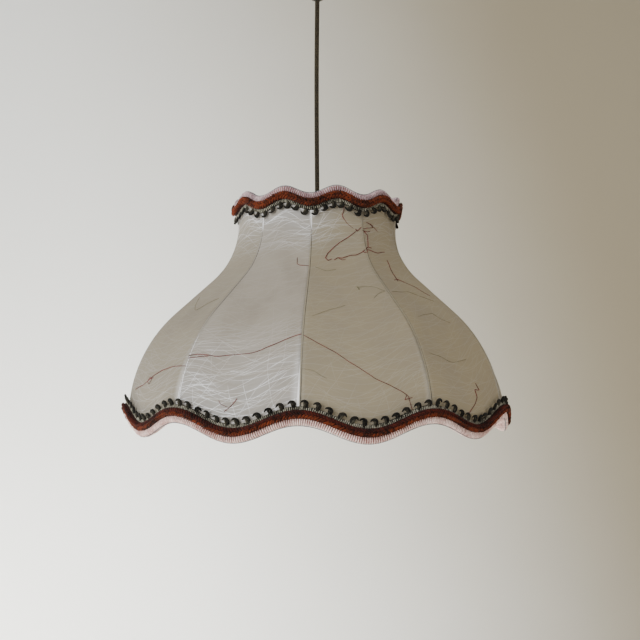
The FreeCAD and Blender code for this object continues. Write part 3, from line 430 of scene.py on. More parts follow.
def make_paper():
    material, recipe = new_material("fibre_paper")
    uv = recipe.add("ShaderNodeUVMap", uv_map="UVMap").outputs[0]
    seam_uv = recipe.add("ShaderNodeUVMap", uv_map="Seam").outputs[0]
    to_rib, down, _ = recipe.add("ShaderNodeSeparateXYZ", {0: seam_uv}).outputs
    marks = {}
    for label in PANEL_MARKS:
        marks[label] = recipe.add("ShaderNodeAttribute", attribute_name=label).outputs["Fac"]
    web = use_group(recipe, paper_web, {"Vector": uv})
    wisps = recipe.ramp(web["Combed"], 0.36, 0.66, 0.35, 1.0)
    # Painted light: a pale backlight near the neck and the rim, for daylight through the shade's openings,
    # pales the paper and brings out its fibres.
    near_neck = recipe.math("MULTIPLY", recipe.ramp(down, 0.30, 0.03), marks["neck_backlight"])
    near_rim = recipe.math("MULTIPLY", recipe.ramp(down, 0.52, 0.98), marks["rim_backlight"])
    backlight = recipe.math("MULTIPLY", recipe.math("MAXIMUM", near_neck, near_rim), wisps)
    # Painted light and shade: each panel's pulp is mixed between its window-lit and its room-lit copy.
    pulp = recipe.mix(marks["room_light_share"], PULP_WINDOW_LIT, PULP_ROOM_LIT)
    pulp = recipe.mix(recipe.ramp(web["Cloud"], 0.62, 0.30, 0.0, 0.5), pulp, PULP_DARK)
    pulp = recipe.mix(recipe.math("MULTIPLY", backlight, 0.72), pulp, BACKLIGHT_COLOR)
    shown = recipe.math("ADD", recipe.math("MULTIPLY", backlight, 1.5), 0.055, clamp=True)
    fibres = recipe.math("MULTIPLY", web["Web"], shown)
    color = recipe.mix(fibres, pulp, FIBRE_COLOR)
    # Painted highlight: a pale strip along each seam, partly the lap's doubled paper and partly light on the
    # rib's ridge, wider near the neck and the rim.
    neck_width = recipe.ramp(down, 0.16, 0.10, 0.0, 0.0019)
    rim_width = recipe.ramp(down, 0.56, 1.0, 0.0, 0.0040)
    width = recipe.math("MULTIPLY", recipe.math("MAXIMUM", neck_width, rim_width), marks["glow"])
    past = recipe.math("SUBTRACT", to_rib, width)
    shine = recipe.math("MULTIPLY", recipe.ramp(past, 0.0004, -0.0006), recipe.ramp(width, 0.0001, 0.0005))
    color = recipe.mix(shine, color, SEAM_LAP_AND_HIGHLIGHT)
    # Painted light: a pale halo beside each seam, stronger towards the rim.
    halo_by_height = recipe.ramp(down, 0.55, 0.95, 0.0, 0.5)
    halo = recipe.math("MULTIPLY", recipe.ramp(past, HALO_REACH, 0.0), halo_by_height)
    halo = recipe.math("MULTIPLY", halo, recipe.math("MAXIMUM", marks["glow"], 0.5))
    color = recipe.mix(halo, color, SEAM_LAP_AND_HIGHLIGHT)
    # Painted shadow: a dark line along each rib, where the wire behind the paper and the lap's edge shade it;
    # it fades near the neck and the rim and stops half way on some panels.
    in_middle = recipe.math("MULTIPLY", recipe.ramp(down, 0.13, 0.24), recipe.ramp(down, 1.0, 0.95))
    ends_early = recipe.math("MULTIPLY", recipe.ramp(down, 0.50, 0.62), marks["short_shadow"])
    kept = recipe.math("MULTIPLY", in_middle, recipe.math("SUBTRACT", 1.0, ends_early))
    rib_shadow = recipe.math("MULTIPLY", recipe.ramp(to_rib, LINE_EDGE, LINE_CORE), kept)
    color = recipe.mix(recipe.math("MULTIPLY", rib_shadow, 0.9), color, RIB_SHADOW_COLOR)
    lit_fibres = recipe.math("MULTIPLY", recipe.math("MULTIPLY", fibres, backlight), 0.28)
    lit = recipe.math("MAXIMUM", shine, lit_fibres)
    lit = recipe.math("MULTIPLY", lit, recipe.math("SUBTRACT", 1.0, rib_shadow))
    thin = recipe.mix(lit, BLACK, SEAM_LAP_AND_HIGHLIGHT)
    grain = recipe.noise(uv, 900.0, 3.0).outputs["Fac"]
    height = recipe.math("ADD", fibres, recipe.math("MULTIPLY", grain, 0.35))
    bump = recipe.add("ShaderNodeBump", {"Strength": 0.3, "Distance": 0.0004, "Height": height}).outputs[0]
    roughness = recipe.ramp(web["Cloud"], 0.3, 0.7, 0.78, 0.62)
    face = principled(recipe, base_color=color, roughness=roughness, normal=bump, sheen_weight=0.1,
                      emission_color=thin, emission_strength=DAYLIGHT)
    through = recipe.add("ShaderNodeBsdfTranslucent", {"Color": color, "Normal": bump})
    mixed = recipe.add("ShaderNodeMixShader", {0: THROUGH, 1: face.outputs[0], 2: through.outputs[0]})
    finish_surface(recipe, mixed.outputs[0])
    return material


paper_material = make_paper()
print("paper ready")

# %% [markdown]
# ## The panels
# Each panel is one sheet, laid over the frame from the top ring to the bottom ring.  Its right edge laps
# over the next panel by a millimetre or two, which makes the seam that shows along every rib.  A slow noise
# moves the sheet in and out by a fraction of a millimetre, because glued paper never dries quite flat.

# %% Panels
LAP = 0.0016
LAP_STEP = 0.00012
PANEL_COLUMNS = 22
PANEL_ROWS = 64
PUCKER = 0.0007
PUCKER_SCALE = 28  # bumps per metre, about
# Painted light: how strongly the pale backlight is painted near the neck, at each rib, and near the rim, on
# each panel.
NECK_BACKLIGHT = [1.0, 0.08, 0.1, 0.3, 0.45, 0.5, 0.4, 0.45, 0.5, 0.85]  # at each rib
RIM_BACKLIGHT = [0.05, 0.03, 0.25, 0.5, 0.7, 0.6, 0.4, 0.7, 0.22, 0.85]  # on each panel
# Painted light: how far each panel is painted warmer and darker, as lit by the room more than by the window.
ROOM_LIGHT_SHARE = [0.85, 1.0, 1.0, 0.8, 0.5, 0.4, 0.5, 0.6, 0.55, 0.0]
GLOW = [0.12, 0.12, 0.5, 0.6, 0.4, 0.5, 0.6, 0.5, 0.75, 1.0]  # of the paper along each panel's right seam
# Painted shadow: 1 where the rib's dark line stops half way down.
SHORT_SHADOW = [0, 0, 0, 1, 0, 0, 1, 0, 1, 0]  # 1 where the dark line stops half way down


def panel_place(number):
    start = FIRST_RIB + number * PANEL_ANGLE

    def place(u, v):
        near = start + u * PANEL_ANGLE
        bottom = ring_height(near, False)
        z = bottom + (ring_height(near, True) - bottom) * v
        angle = near + u * LAP / rib_radius(z)
        free = math.sin(math.pi * u) * math.sin(math.pi * v)
        wobble = noise.noise(on_bell(angle, z) * PUCKER_SCALE + Vector((number * 3.1, 0, 0))) * PUCKER * free
        return on_bell(angle, z, wobble + LAP_STEP * u ** 12)

    return place


def mark_panel(panel, number):
    """Adds the map of the distance to the right rib and the share down, and the panel's marks of painted
    light and shade.
    """
    mesh = panel.data
    seam = mesh.uv_layers.new(name="Seam")
    sheet = mesh.uv_layers["UVMap"].data
    flat = [0.0] * (2 * len(sheet))
    sheet.foreach_get("uv", flat)
    for loop, (u, v) in enumerate(zip(flat[::2], flat[1::2])):
        where = mesh.vertices[mesh.loops[loop].vertex_index].co
        width = math.hypot(where.x, where.y) * PANEL_ANGLE
        seam.data[loop].uv = ((1 - u) * width, 1 - v)
        sheet[loop].uv = ((u - 0.5) * width + number * 0.37, v * RIB_LENGTH)
    values = {label: [] for label in PANEL_MARKS}
    left, right = NECK_BACKLIGHT[number], NECK_BACKLIGHT[(number + 1) % PANEL_COUNT]
    for vert in mesh.vertices:
        angle = math.atan2(vert.co.x, -vert.co.y)
        across = (angle - FIRST_RIB - number * PANEL_ANGLE + math.pi) % math.tau - math.pi
        share = min(1, max(0, across / PANEL_ANGLE))
        values["neck_backlight"].append(right + (left - right) * (1 - share) ** 2)
    even_marks = {"rim_backlight": RIM_BACKLIGHT, "room_light_share": ROOM_LIGHT_SHARE, "glow": GLOW, "short_shadow": SHORT_SHADOW}
    for label, marks in even_marks.items():
        values[label] = [marks[number]] * len(mesh.vertices)
    for label, numbers in values.items():
        mesh.attributes.new(label, "FLOAT", "POINT").data.foreach_set("value", numbers)


def measure_rib():
    points = [Vector((rib_radius(z), 0, z)) for z in
              (TOP_RING + (BOTTOM_RING - TOP_RING) * i / 100 for i in range(101))]
    return sum((b - a).length for a, b in zip(points, points[1:]))


RIB_LENGTH = measure_rib()


def make_panel(number):
    name = "paper_panel_%02d" % (number + 1)
    panel = lay_grid(name, PANEL_COLUMNS, PANEL_ROWS, panel_place(number))
    mark_panel(panel, number)
    panel.data.materials.append(paper_material)
    thicken(panel, PAPER)
    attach(panel, "lamp")
    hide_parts("panel_%02d" % (number + 1))
    return panel


panels = [make_panel(number) for number in range(PANEL_COUNT)]
print(len(panels), "panels,", count_triangles(panels[0]), "triangles each before thickening")
print("a rib is", round(RIB_LENGTH / MM), "mm long")

# %% [markdown]
# ## Yarn
# Yarn isn't one colour: its plies catch light and shade, and loose hairs soften it.  The group breaks a
# colour up with noise at the size of a ply and of a hair, and gives the height of the hairs.

# %% Yarn group
yarn_inputs = [("Vector", "NodeSocketVector", None), ("Dark", "NodeSocketColor", (0, 0, 0, 1)),
               ("Light", "NodeSocketColor", (1, 1, 1, 1)), ("Ply", "NodeSocketFloat", 900.0)]
yarn_outputs = [("Color", "NodeSocketColor"), ("Height", "NodeSocketFloat")]
yarn_fibre, make, given, result = new_group("yarn_fibre", yarn_inputs, yarn_outputs)
ply = make.noise(given["Vector"], given["Ply"], 2.0, 0.6).outputs["Fac"]
hair = make.noise(given["Vector"], make.math("MULTIPLY", given["Ply"], 3.2), 3.0, 0.65).outputs["Fac"]
patch = make.noise(given["Vector"], 60.0, 2.0).outputs["Fac"]
both = make.math("ADD", make.math("MULTIPLY", ply, 0.65), make.math("MULTIPLY", hair, 0.35))
shade = make.ramp(make.math("ADD", both, make.math("MULTIPLY", make.math("SUBTRACT", patch, 0.5), 0.5)),
                  0.32, 0.68)
make.tree.links.new(make.mix(shade, given["Dark"], given["Light"]), result["Color"])
make.tree.links.new(both, result["Height"])


def make_yarn(name, dark, light, ply):
    material, recipe = new_material(name)
    place = recipe.add("ShaderNodeTexCoord").outputs["Object"]
    parts = use_group(recipe, yarn_fibre, {"Vector": place, "Dark": dark, "Light": light, "Ply": ply})
    bump = recipe.add("ShaderNodeBump", {"Strength": 0.6, "Distance": 0.0005, "Height": parts["Height"]})
    shader = principled(recipe, base_color=parts["Color"], roughness=0.85, normal=bump.outputs[0],
                        sheen_weight=0.05, sheen_roughness=0.5, specular_ior_level=0.1)
    finish_surface(recipe, shader.outputs[0])
    return material


yarn_pink = make_yarn("yarn_pink", rgb(192, 150, 141), rgb(252, 226, 216), 500)
yarn_mauve = make_yarn("yarn_mauve", rgb(138, 112, 116), rgb(208, 184, 184), 500)
# Painted shade: a darker copy of the pink yarn, for the backing seen between the stitches.
yarn_pink_shaded = make_yarn("yarn_pink_shaded", rgb(114, 70, 64), rgb(178, 124, 116), 700)
yarn_rust = make_yarn("yarn_rust", rgb(26, 10, 5), rgb(112, 49, 24), 460)
yarn_maroon = make_yarn("yarn_maroon", rgb(18, 6, 4), rgb(74, 26, 16), 460)
# Painted shade: a darker copy of the rust yarn, for the backing seen between the stitches.
yarn_rust_shaded = make_yarn("yarn_rust_shaded", rgb(14, 4, 2), rgb(48, 13, 5), 420)
yarn_grey = make_yarn("yarn_grey", rgb(62, 59, 50), rgb(172, 166, 148), 600)
yarn_black = make_yarn("yarn_black", rgb(3, 3, 2), rgb(38, 35, 29), 640)
yarn_mixed = make_yarn("yarn_mixed", rgb(4, 4, 3), rgb(70, 66, 54), 560)
yarn_line = make_yarn("yarn_line", rgb(74, 76, 80), rgb(128, 128, 130), 900)
print("yarns ready")


# %% [markdown]
# ## Following the rims
# Both trims are the same pattern: at the top it is upright, and at the bottom it is turned over.  `on_rim`
# takes a place along the rim, a distance out from the paper, and a distance towards the rim's edge, so a
# stitch is drawn once and serves both.

# %% Rim helper
def on_rim(angle, out, up, top):
    """up is towards the rim's own edge: upwards at the top rim and downwards at the bottom rim."""
    height = ring_height(angle, top)
    sign = 1 if top else -1
    ring_z = TOP_RING if top else BOTTOM_RING
    radius = rib_radius(ring_z) * pull_in(angle, RING_BULGE)
    return around(angle, radius + out * MM, height + sign * up * MM)


def rim_length(top):
    ring_z = TOP_RING if top else BOTTOM_RING
    return math.tau * rib_radius(ring_z)


def on_stitch(middle, spot, root, top):
    """A point of a stitch that springs from the height root and stands square to the wavy rim."""
    along, out, up = spot
    radius = rim_length(top) / math.tau
    wave, sign = (TOP_WAVE, 1) if top else (-BOTTOM_WAVE, -1)
    slope = wave / 2 * PANEL_COUNT / radius * math.sin(off_rib(middle) * PANEL_COUNT)
    lean = -(up - root) * sign * math.sin(math.atan(slope))
    return on_rim(middle + (along + lean) * MM / radius, out, up, top)


def row_of(count, top, shape, lucky=None, skew=0.0):
    """Repeats a stitch round a rim.  shape is a list of (along, out, up, girth), lengths in mm."""
    rows = []
    for number in range(count):
        middle = FIRST_RIB + math.tau * (number + 0.5) / count
        luck = lucky.uniform(-1, 1) if lucky else 0.0
        path = []
        for along, out, up, girth in shape:
            spot = (along * (1 + 0.12 * luck) + skew * luck, out + 0.15 * luck, up + 0.2 * luck)
            path.append((on_stitch(middle, spot, shape[0][2], top), girth))
        rows.append(path)
    return rows


def backing(name, outline, top):
    """A band of cloth under the stitches, through the points (out, up) of its cross-section."""
    steps = len(outline) - 1

    def place(u, v):
        at = v * steps
        first = min(int(at), steps - 1)
        part = at - first
        a, b = outline[first], outline[first + 1]
        out, up = a[0] + (b[0] - a[0]) * part, a[1] + (b[1] - a[1]) * part
        return on_rim(FIRST_RIB + u * math.tau, out, up, top)

    band = lay_grid(name, 240, steps, place, (rim_length(top), 0.02), closed=True)
    bm = bmesh.new()
    bm.from_mesh(band.data)
    bmesh.ops.recalc_face_normals(bm, faces=bm.faces)
    bm.to_mesh(band.data)
    bm.free()
    return band


def join(name, parts):
    """Joins meshes that are one piece of work, keeping their materials."""
    for part in parts:
        part.select_set(False)
    with bpy.context.temp_override(active_object=parts[0], selected_editable_objects=parts, object=parts[0]):
        bpy.ops.object.join()
    parts[0].name = name
    return parts[0]


def dress(piece, node):
    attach(piece, "lamp")
    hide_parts(node)
    print(piece.name, count_triangles(piece), "triangles")


# %% [markdown]
# ## The pink edge
# Close upright stitches, two millimetres apart, start under the rust band, go over the ring and turn in.
# A plain band lies under them so that no light leaks between the stitches; it is a darker copy of the pink
# yarn, painted shade between the stitches.  A thin grey thread runs along the very edge.

# %% Pink edge
EDGE_PITCH = 2.0 * MM
EDGE_YARN = 0.68 * MM  # radius, as for the yarns below
EDGE_LINE = 0.42 * MM
rng = random.Random(7)


def make_edge(top):
    rim_name = "top" if top else "bottom"
    height = 5.7 if top else 6.2
    count = round(rim_length(top) / EDGE_PITCH)
    outline = [(1.0, -0.3), (3.2, 0.1), (3.2, height - 1.9), (1.8, height - 0.9), (-2.0, height - 0.9),
               (-7.8, height - 5.0)]
    band = backing("edge_band_" + rim_name, outline, top)
    band.data.materials.append(yarn_pink_shaded)
    thicken(band, 0.5 * MM)
    with bpy.context.temp_override(object=band, active_object=band):
        bpy.ops.object.modifier_apply(modifier="thickness")
    posts = row_of(count, top, [(0.1, 3.6, 0.0, 0.85), (0.0, 4.2, height * 0.45, 1.0),
                                (0.0, 3.7, height - 1.5, 1.05), (0.1, 1.6, height - 0.6, 1.0),
                                (0.2, -2.0, height - 0.7, 0.95), (0.3, -7.6, height - 4.6, 0.8)], rng)
    stitches = strands("edge_posts_" + rim_name, posts, EDGE_YARN)
    stitches.data.materials.append(yarn_mauve if top else yarn_pink)
    rim = [(on_rim(FIRST_RIB + math.tau * i / 160, 2.0, height - 0.1, top), 1.0) for i in range(160)]
    thread = strands("edge_thread_" + rim_name, [rim], EDGE_LINE, closed=True)
    thread.data.materials.append(yarn_line)
    edge = join("pink_edge_" + rim_name, [band, stitches, thread])
    dress(edge, "trim_%s_edge" % rim_name)


for at_top in (True, False):
    make_edge(at_top)

# %% [markdown]
# ## The rust braid
# A plump braid hides the join between pink and grey.  Two rows of leaning stitches meet in the middle
# like herringbone, over a backing of the same wool in a darker copy, painted shade between the stitches.
# On the bottom rim the inner row is a darker maroon.

# %% Rust braid
BRAID_PITCH = 2.7 * MM
BRAID_YARN = 1.0 * MM


def make_braid(top):
    rim_name = "top" if top else "bottom"
    height = 8.4 if top else 8.2
    depth = 8.2
    count = round(rim_length(top) / BRAID_PITCH)
    outline = [(1.0, 0.0), (depth - 2.6, -0.8), (depth - 1.8, -height / 2), (depth - 2.6, -height + 0.8),
               (1.0, -height)]
    band = backing("braid_band_" + rim_name, outline, top)
    band.data.materials.append(yarn_rust_shaded)
    half = height / 2
    upper = [(-1.9, depth - 2.6, -0.5, 0.7), (-0.8, depth - 1.3, -half * 0.42, 1.05),
             (0.7, depth - 1.1, -half * 0.75, 1.0), (1.9, depth - 2.0, -half - 0.2, 0.6)]
    lower = [(-1.9, depth - 2.6, -height + 0.5, 0.7), (-0.8, depth - 1.3, -height + half * 0.42, 1.05),
             (0.7, depth - 1.1, -height + half * 0.75, 1.0), (1.9, depth - 2.0, -half + 0.2, 0.6)]
    edge_row = strands("braid_edge_row_" + rim_name, row_of(count, top, upper, rng, 0.25), BRAID_YARN)
    edge_row.data.materials.append(yarn_rust)
    inner_row = strands("braid_inner_row_" + rim_name, row_of(count, top, lower, rng, 0.25), BRAID_YARN)
    inner_row.data.materials.append(yarn_rust if top else yarn_maroon)
    braid = join("rust_braid_" + rim_name, [band, edge_row, inner_row])
    dress(braid, "trim_%s_braid" % rim_name)


for at_top in (True, False):
    make_braid(at_top)

# %% [markdown]
# ## The grey loops
# The inner band is crochet in a dark mixed yarn.  A row of short upright stitches stands next to the
# braid, and from it springs a line of loops, each a thick thread that rises, leans over and curls back.
# No two lean alike.

# %% Grey crochet
CROCHET_PITCH = 1.75 * MM
POST_YARN = 0.62 * MM
HOOK_YARN = 0.95 * MM
LINING_YARN = 0.85 * MM


def make_picot(top):
    rim_name = "top" if top else "bottom"
    start = 7.8 if top else 6.4
    base = 4.0 if top else 4.6
    per_panel = 6 if top else 12
    count = round(rim_length(top) / CROCHET_PITCH)
    outline = [(0.7, -start + 0.6), (1.9, -start), (1.9, -start - base + 0.6), (0.7, -start - base)]
    band = backing("picot_band_" + rim_name, outline, top)
    band.data.materials.append(yarn_black)
    posts = row_of(count, top, [(0.0, 2.1, -start + 0.3, 0.8), (0.1, 2.9, -start - base * 0.5, 1.0),
                                (0.3, 2.2, -start - base + 0.3, 0.8)], rng, 0.15)
    stitches = strands("picot_posts_" + rim_name, posts, POST_YARN)
    stitches.data.materials.append(yarn_grey)
    low = -start - base
    loops = []
    linings = []
    for number in range(per_panel * PANEL_COUNT):
        middle = FIRST_RIB + math.tau * (number + 0.5) / (per_panel * PANEL_COUNT)
        lean = rng.uniform(-0.7, 0.7)
        tall = rng.uniform(0.9, 1.12)
        stand = rng.uniform(-0.2, 0.9)
        turned = rng.choice((1, 1, 1, -1))
        outer = [(1.4, 1.8, 1.5, 1.0), (2.0, 2.6, -1.4, 1.3), (1.7, 3.2 + stand, -3.9, 1.4),
                 (-0.8, 3.4 + stand, -5.2, 1.45), (-3.2, 3.2 + stand, -4.6, 1.1), (-4.3, 2.8, -3.2, 0.5)]
        inner = [(0.1, 2.0, 1.5, 1.3), (-0.3, 3.0, -1.2, 1.5), (-0.5, 3.3 + stand, -3.0, 1.45),
                 (-1.6, 2.9, -3.5, 0.8)]
        for shape, group in ((outer, loops), (inner, linings)):
            path = []
            for along, out, up, girth in shape:
                spot = (turned * along - lean * up * 0.18, out, low + up * tall + 0.3)
                path.append((on_stitch(middle, spot, low, top), girth))
            group.append(path)
    hooks = strands("picot_loops_" + rim_name, loops, HOOK_YARN)
    hooks.data.materials.append(yarn_black)
    fillings = strands("picot_linings_" + rim_name, linings, LINING_YARN)
    fillings.data.materials.append(yarn_mixed)
    picot = join("grey_loops_" + rim_name, [band, stitches, hooks, fillings])
    dress(picot, "trim_%s_picot" % rim_name)


for at_top in (True, False):
    make_picot(at_top)

# %% [markdown]
# ## The cord
# A textile-covered cord, five millimetres thick, pulled straight by the lamp's weight.  It is one smooth
# spline through the same points as the frame's cord.  Its braid is two sets of slanting
# threads, worked out from the angle round the cord and the height.

# %% Cord
CORD_ROUTE = [(0, 0, -0.0580), (-0.0009, 0.0002, -0.12296), (-0.0007, -0.0003, -0.21112), (0, 0, -0.2780),
              (0, 0, -0.2900)]
CORD_DIAMETER = 0.005


def make_cord_material():
    material, recipe = new_material("cord_textile")
    place = recipe.add("ShaderNodeTexCoord").outputs["Object"]
    axis = recipe.add("ShaderNodeSeparateXYZ", {0: place}).outputs
    turn = recipe.math("ARCTAN2", axis["Y"], axis["X"])
    pitch = recipe.math("MULTIPLY", axis["Z"], 1100.0)
    crossing = []
    for way in (1.0, -1.0):
        phase = recipe.math("ADD", recipe.math("MULTIPLY", turn, 8.0 * way), pitch)
        crossing.append(recipe.math("SINE", phase))
    weave = recipe.math("MAXIMUM", crossing[0], crossing[1])
    dirt = recipe.noise(place, 300.0, 3.0).outputs["Fac"]
    # Painted shade: the grooves between the woven threads are darker; the noise gives an uneven dirty tone.
    shade = recipe.math("ADD", recipe.math("MULTIPLY", weave, 0.3), dirt)
    color = recipe.mix(recipe.ramp(shade, 0.2, 1.0), rgb(18, 15, 9), rgb(57, 49, 33))
    bump = recipe.add("ShaderNodeBump", {"Strength": 0.7, "Distance": 0.0004, "Height": weave})
    shader = principled(recipe, base_color=color, roughness=0.75, normal=bump.outputs[0], sheen_weight=0.05,
                        specular_ior_level=0.15)
    finish_surface(recipe, shader.outputs[0])
    return material


def make_cord():
    curve = bpy.data.curves.new("textile_cord", "CURVE")
    curve.dimensions = "3D"
    curve.bevel_depth = CORD_DIAMETER / 2
    curve.bevel_resolution = 6
    curve.resolution_u = 24
    curve.use_fill_caps = True
    spline = curve.splines.new("NURBS")
    spline.points.add(len(CORD_ROUTE) - 1)
    for control, point in zip(spline.points, CORD_ROUTE):
        control.co = (*point, 1)
    spline.order_u = 3
    spline.use_endpoint_u = True
    return link("textile_cord", curve)


cord_material = make_cord_material()
cord = make_cord()
cord.data.materials.append(cord_material)
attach(cord, "cord")
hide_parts("cord")
print("cord laid through", len(CORD_ROUTE), "points")

# %% [markdown]
# ## Red threads and olive fibres
# A few dark red silk threads were caught in the pulp, and some thinner olive fibres.  They lie in the
# surface, so they are real strands, at most about 0.8 mm thick and mostly thinner, laid on the paper.
# Each is given by a few places on one panel, across from its left rib and down from its top, and a small
# noise keeps it from looking drawn.

# %% Red threads and olive fibres
THREAD_RADIUS = 0.36 * MM
THREAD_LIFT = 0.34 * MM  # of its middle over the paper
THREAD_STEPS = 5  # from one given place to the next
SWAY = 0.0024
SWAY_SCALE = 55
THREADS = [  # panel, places across and down it, thickness
    (10, [(0.00, 0.74), (0.24, 0.72), (0.50, 0.69), (0.75, 0.675), (1.00, 0.65)], 1.0),
    (10, [(0.00, 0.75), (0.08, 0.745), (0.17, 0.73)], 0.9),
    (9, [(1.00, 0.78), (0.64, 0.76), (0.50, 0.78), (0.44, 0.80), (0.30, 0.84), (0.17, 0.875)], 0.9),
    (9, [(0.52, 0.79), (0.44, 0.785), (0.42, 0.81), (0.48, 0.815), (0.50, 0.79), (0.43, 0.80)], 0.8),
    (1, [(0.02, 0.655), (0.27, 0.70), (0.54, 0.767), (0.75, 0.86), (0.81, 0.89), (0.84, 0.95)], 0.75),
    (1, [(0.76, 0.865), (0.80, 0.885), (0.78, 0.90), (0.84, 0.90)], 0.8),
    (10, [(0.52, 0.855), (0.48, 0.88), (0.43, 0.91)], 1.0),
    (10, [(0.45, 0.89), (0.40, 0.885), (0.385, 0.875)], 0.6),
    (1, [(0.645, 0.05), (0.655, 0.082), (0.62, 0.105), (0.65, 0.12)], 1.0),
    (1, [(0.65, 0.12), (0.70, 0.135), (0.80, 0.145)], 0.5),
    (1, [(0.85, 0.143), (0.875, 0.153), (0.90, 0.148), (0.96, 0.13)], 1.1),
    (1, [(0.85, 0.157), (0.66, 0.20), (0.487, 0.236), (0.30, 0.262), (0.256, 0.281), (0.289, 0.295),
         (0.36, 0.288)], 1.0),
    (1, [(0.40, 0.292), (0.48, 0.283), (0.56, 0.286), (0.72, 0.27), (0.80, 0.268), (0.905, 0.251),
         (0.975, 0.238)], 1.0),
    (1, [(0.50, 0.286), (0.55, 0.294), (0.62, 0.292)], 0.7),
    (1, [(0.93, 0.243), (0.96, 0.252), (0.99, 0.25)], 0.9),
    (2, [(0.00, 0.138), (0.12, 0.137), (0.30, 0.142), (0.22, 0.121), (0.10, 0.103)], 0.9),
    (2, [(0.00, 0.147), (0.11, 0.156), (0.21, 0.154)], 0.9),
    (2, [(0.22, 0.118), (0.32, 0.14), (0.42, 0.159)], 0.7),
    (2, [(0.03, 0.152), (0.117, 0.173), (0.104, 0.207), (0.085, 0.225)], 0.9),
    (2, [(0.00, 0.235), (0.084, 0.227), (0.166, 0.23)], 1.0),
    (2, [(0.02, 0.25), (0.03, 0.238), (0.12, 0.242), (0.302, 0.251), (0.526, 0.249)], 0.9),
    (2, [(0.50, 0.283), (0.50, 0.31), (0.44, 0.345), (0.40, 0.38)], 0.8),
    (2, [(0.34, 0.375), (0.42, 0.37), (0.52, 0.38)], 0.8),
    (2, [(0.52, 0.38), (0.70, 0.40), (0.85, 0.45)], 0.5),
    (10, [(0.77, 0.284), (0.80, 0.31), (0.86, 0.32), (1.0, 0.327)], 0.7),
    (2, [(0.59, 0.81), (0.62, 0.84), (0.54, 0.832), (0.55, 0.866), (0.46, 0.904), (0.41, 0.935)], 0.9),
    (4, [(0.1, 0.3), (0.3, 0.36), (0.6, 0.37), (0.8, 0.43)], 0.8),
    (5, [(0.9, 0.55), (0.6, 0.62), (0.3, 0.6), (0.1, 0.68)], 0.9),
    (6, [(0.2, 0.2), (0.35, 0.3), (0.5, 0.33), (0.55, 0.45)], 0.8),
    (7, [(0.8, 0.7), (0.5, 0.76), (0.2, 0.74)], 0.8),
    (8, [(0.1, 0.4), (0.4, 0.48), (0.7, 0.46), (0.9, 0.52)], 0.8),
    (3, [(0.2, 0.6), (0.5, 0.66), (0.8, 0.63)], 0.8),
]
OLIVE_FIBRES = [
    (1, [(0.08, 0.571), (0.20, 0.54), (0.42, 0.497)], 0.45),
    (1, [(0.66, 0.423), (0.86, 0.429), (0.96, 0.439), (0.76, 0.472)], 0.45),
    (1, [(0.645, 0.42), (0.655, 0.43), (0.65, 0.436)], 1.4),
    (1, [(0.02, 0.80), (0.10, 0.80), (0.20, 0.82)], 0.45),
    (1, [(0.10, 0.33), (0.25, 0.345), (0.40, 0.34)], 0.45),
    (2, [(0.05, 0.44), (0.40, 0.43), (0.80, 0.47)], 0.45),
    (2, [(0.20, 0.55), (0.50, 0.52), (0.70, 0.57)], 0.45),
    (2, [(0.10, 0.72), (0.35, 0.73), (0.60, 0.715)], 0.45),
    (9, [(0.20, 0.45), (0.50, 0.50), (0.85, 0.47)], 0.45),
    (3, [(0.10, 0.35), (0.50, 0.38), (0.80, 0.34)], 0.45),
    (6, [(0.15, 0.65), (0.45, 0.60), (0.85, 0.66)], 0.45),
]


def make_thread_material(name, dark, light):
    material, recipe = new_material(name)
    place = recipe.add("ShaderNodeTexCoord").outputs["Object"]
    tone = recipe.noise(place, 220.0, 2.0).outputs["Fac"]
    color = recipe.mix(recipe.ramp(tone, 0.35, 0.65), dark, light)
    shader = principled(recipe, base_color=color, roughness=0.7, specular_ior_level=0.2)
    finish_surface(recipe, shader.outputs[0])
    return material


# The vector noise takes its offsets from the clock until it is given a seed.
noise.seed_set(5)


def lay_thread(number, places, girth):
    start = FIRST_RIB + (number - 1) * PANEL_ANGLE
    path = []
    for (u0, v0), (u1, v1) in zip(places, places[1:]):
        for step in range(THREAD_STEPS):
            part = step / THREAD_STEPS
            path.append((u0 + (u1 - u0) * part, v0 + (v1 - v0) * part))
    path.append(places[-1])
    laid = []
    for u, v in path:
        angle = start + u * PANEL_ANGLE
        top, bottom = ring_height(angle, True), ring_height(angle, False)
        z = top + (bottom - top) * v
        sway = noise.noise_vector(on_bell(angle, z) * SWAY_SCALE) * SWAY
        laid.append((on_bell(angle + sway.x / rib_radius(z), z + sway.z, THREAD_LIFT), girth))
    return laid


def lay_threads(name, threads, material):
    piece = strands(name, [lay_thread(*thread) for thread in threads], THREAD_RADIUS, steps=3)
    piece.data.materials.append(material)
    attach(piece, "lamp")
    print(len(threads), name, count_triangles(piece), "triangles")


silk = make_thread_material("silk_thread", rgb(74, 28, 30), rgb(122, 60, 58))
olive = make_thread_material("olive_fibre", rgb(96, 92, 66), rgb(132, 126, 98))
lay_threads("red_threads", THREADS, silk)
lay_threads("olive_threads", OLIVE_FIBRES, olive)

# %% [markdown]
# ## Finishes for the hard parts
# The frame's own pieces already have their real shape, so they only need a finish.  Metals get fine
# scratches and a dull film, mouldings get a faint unevenness, and the wire's white coating has yellowed.

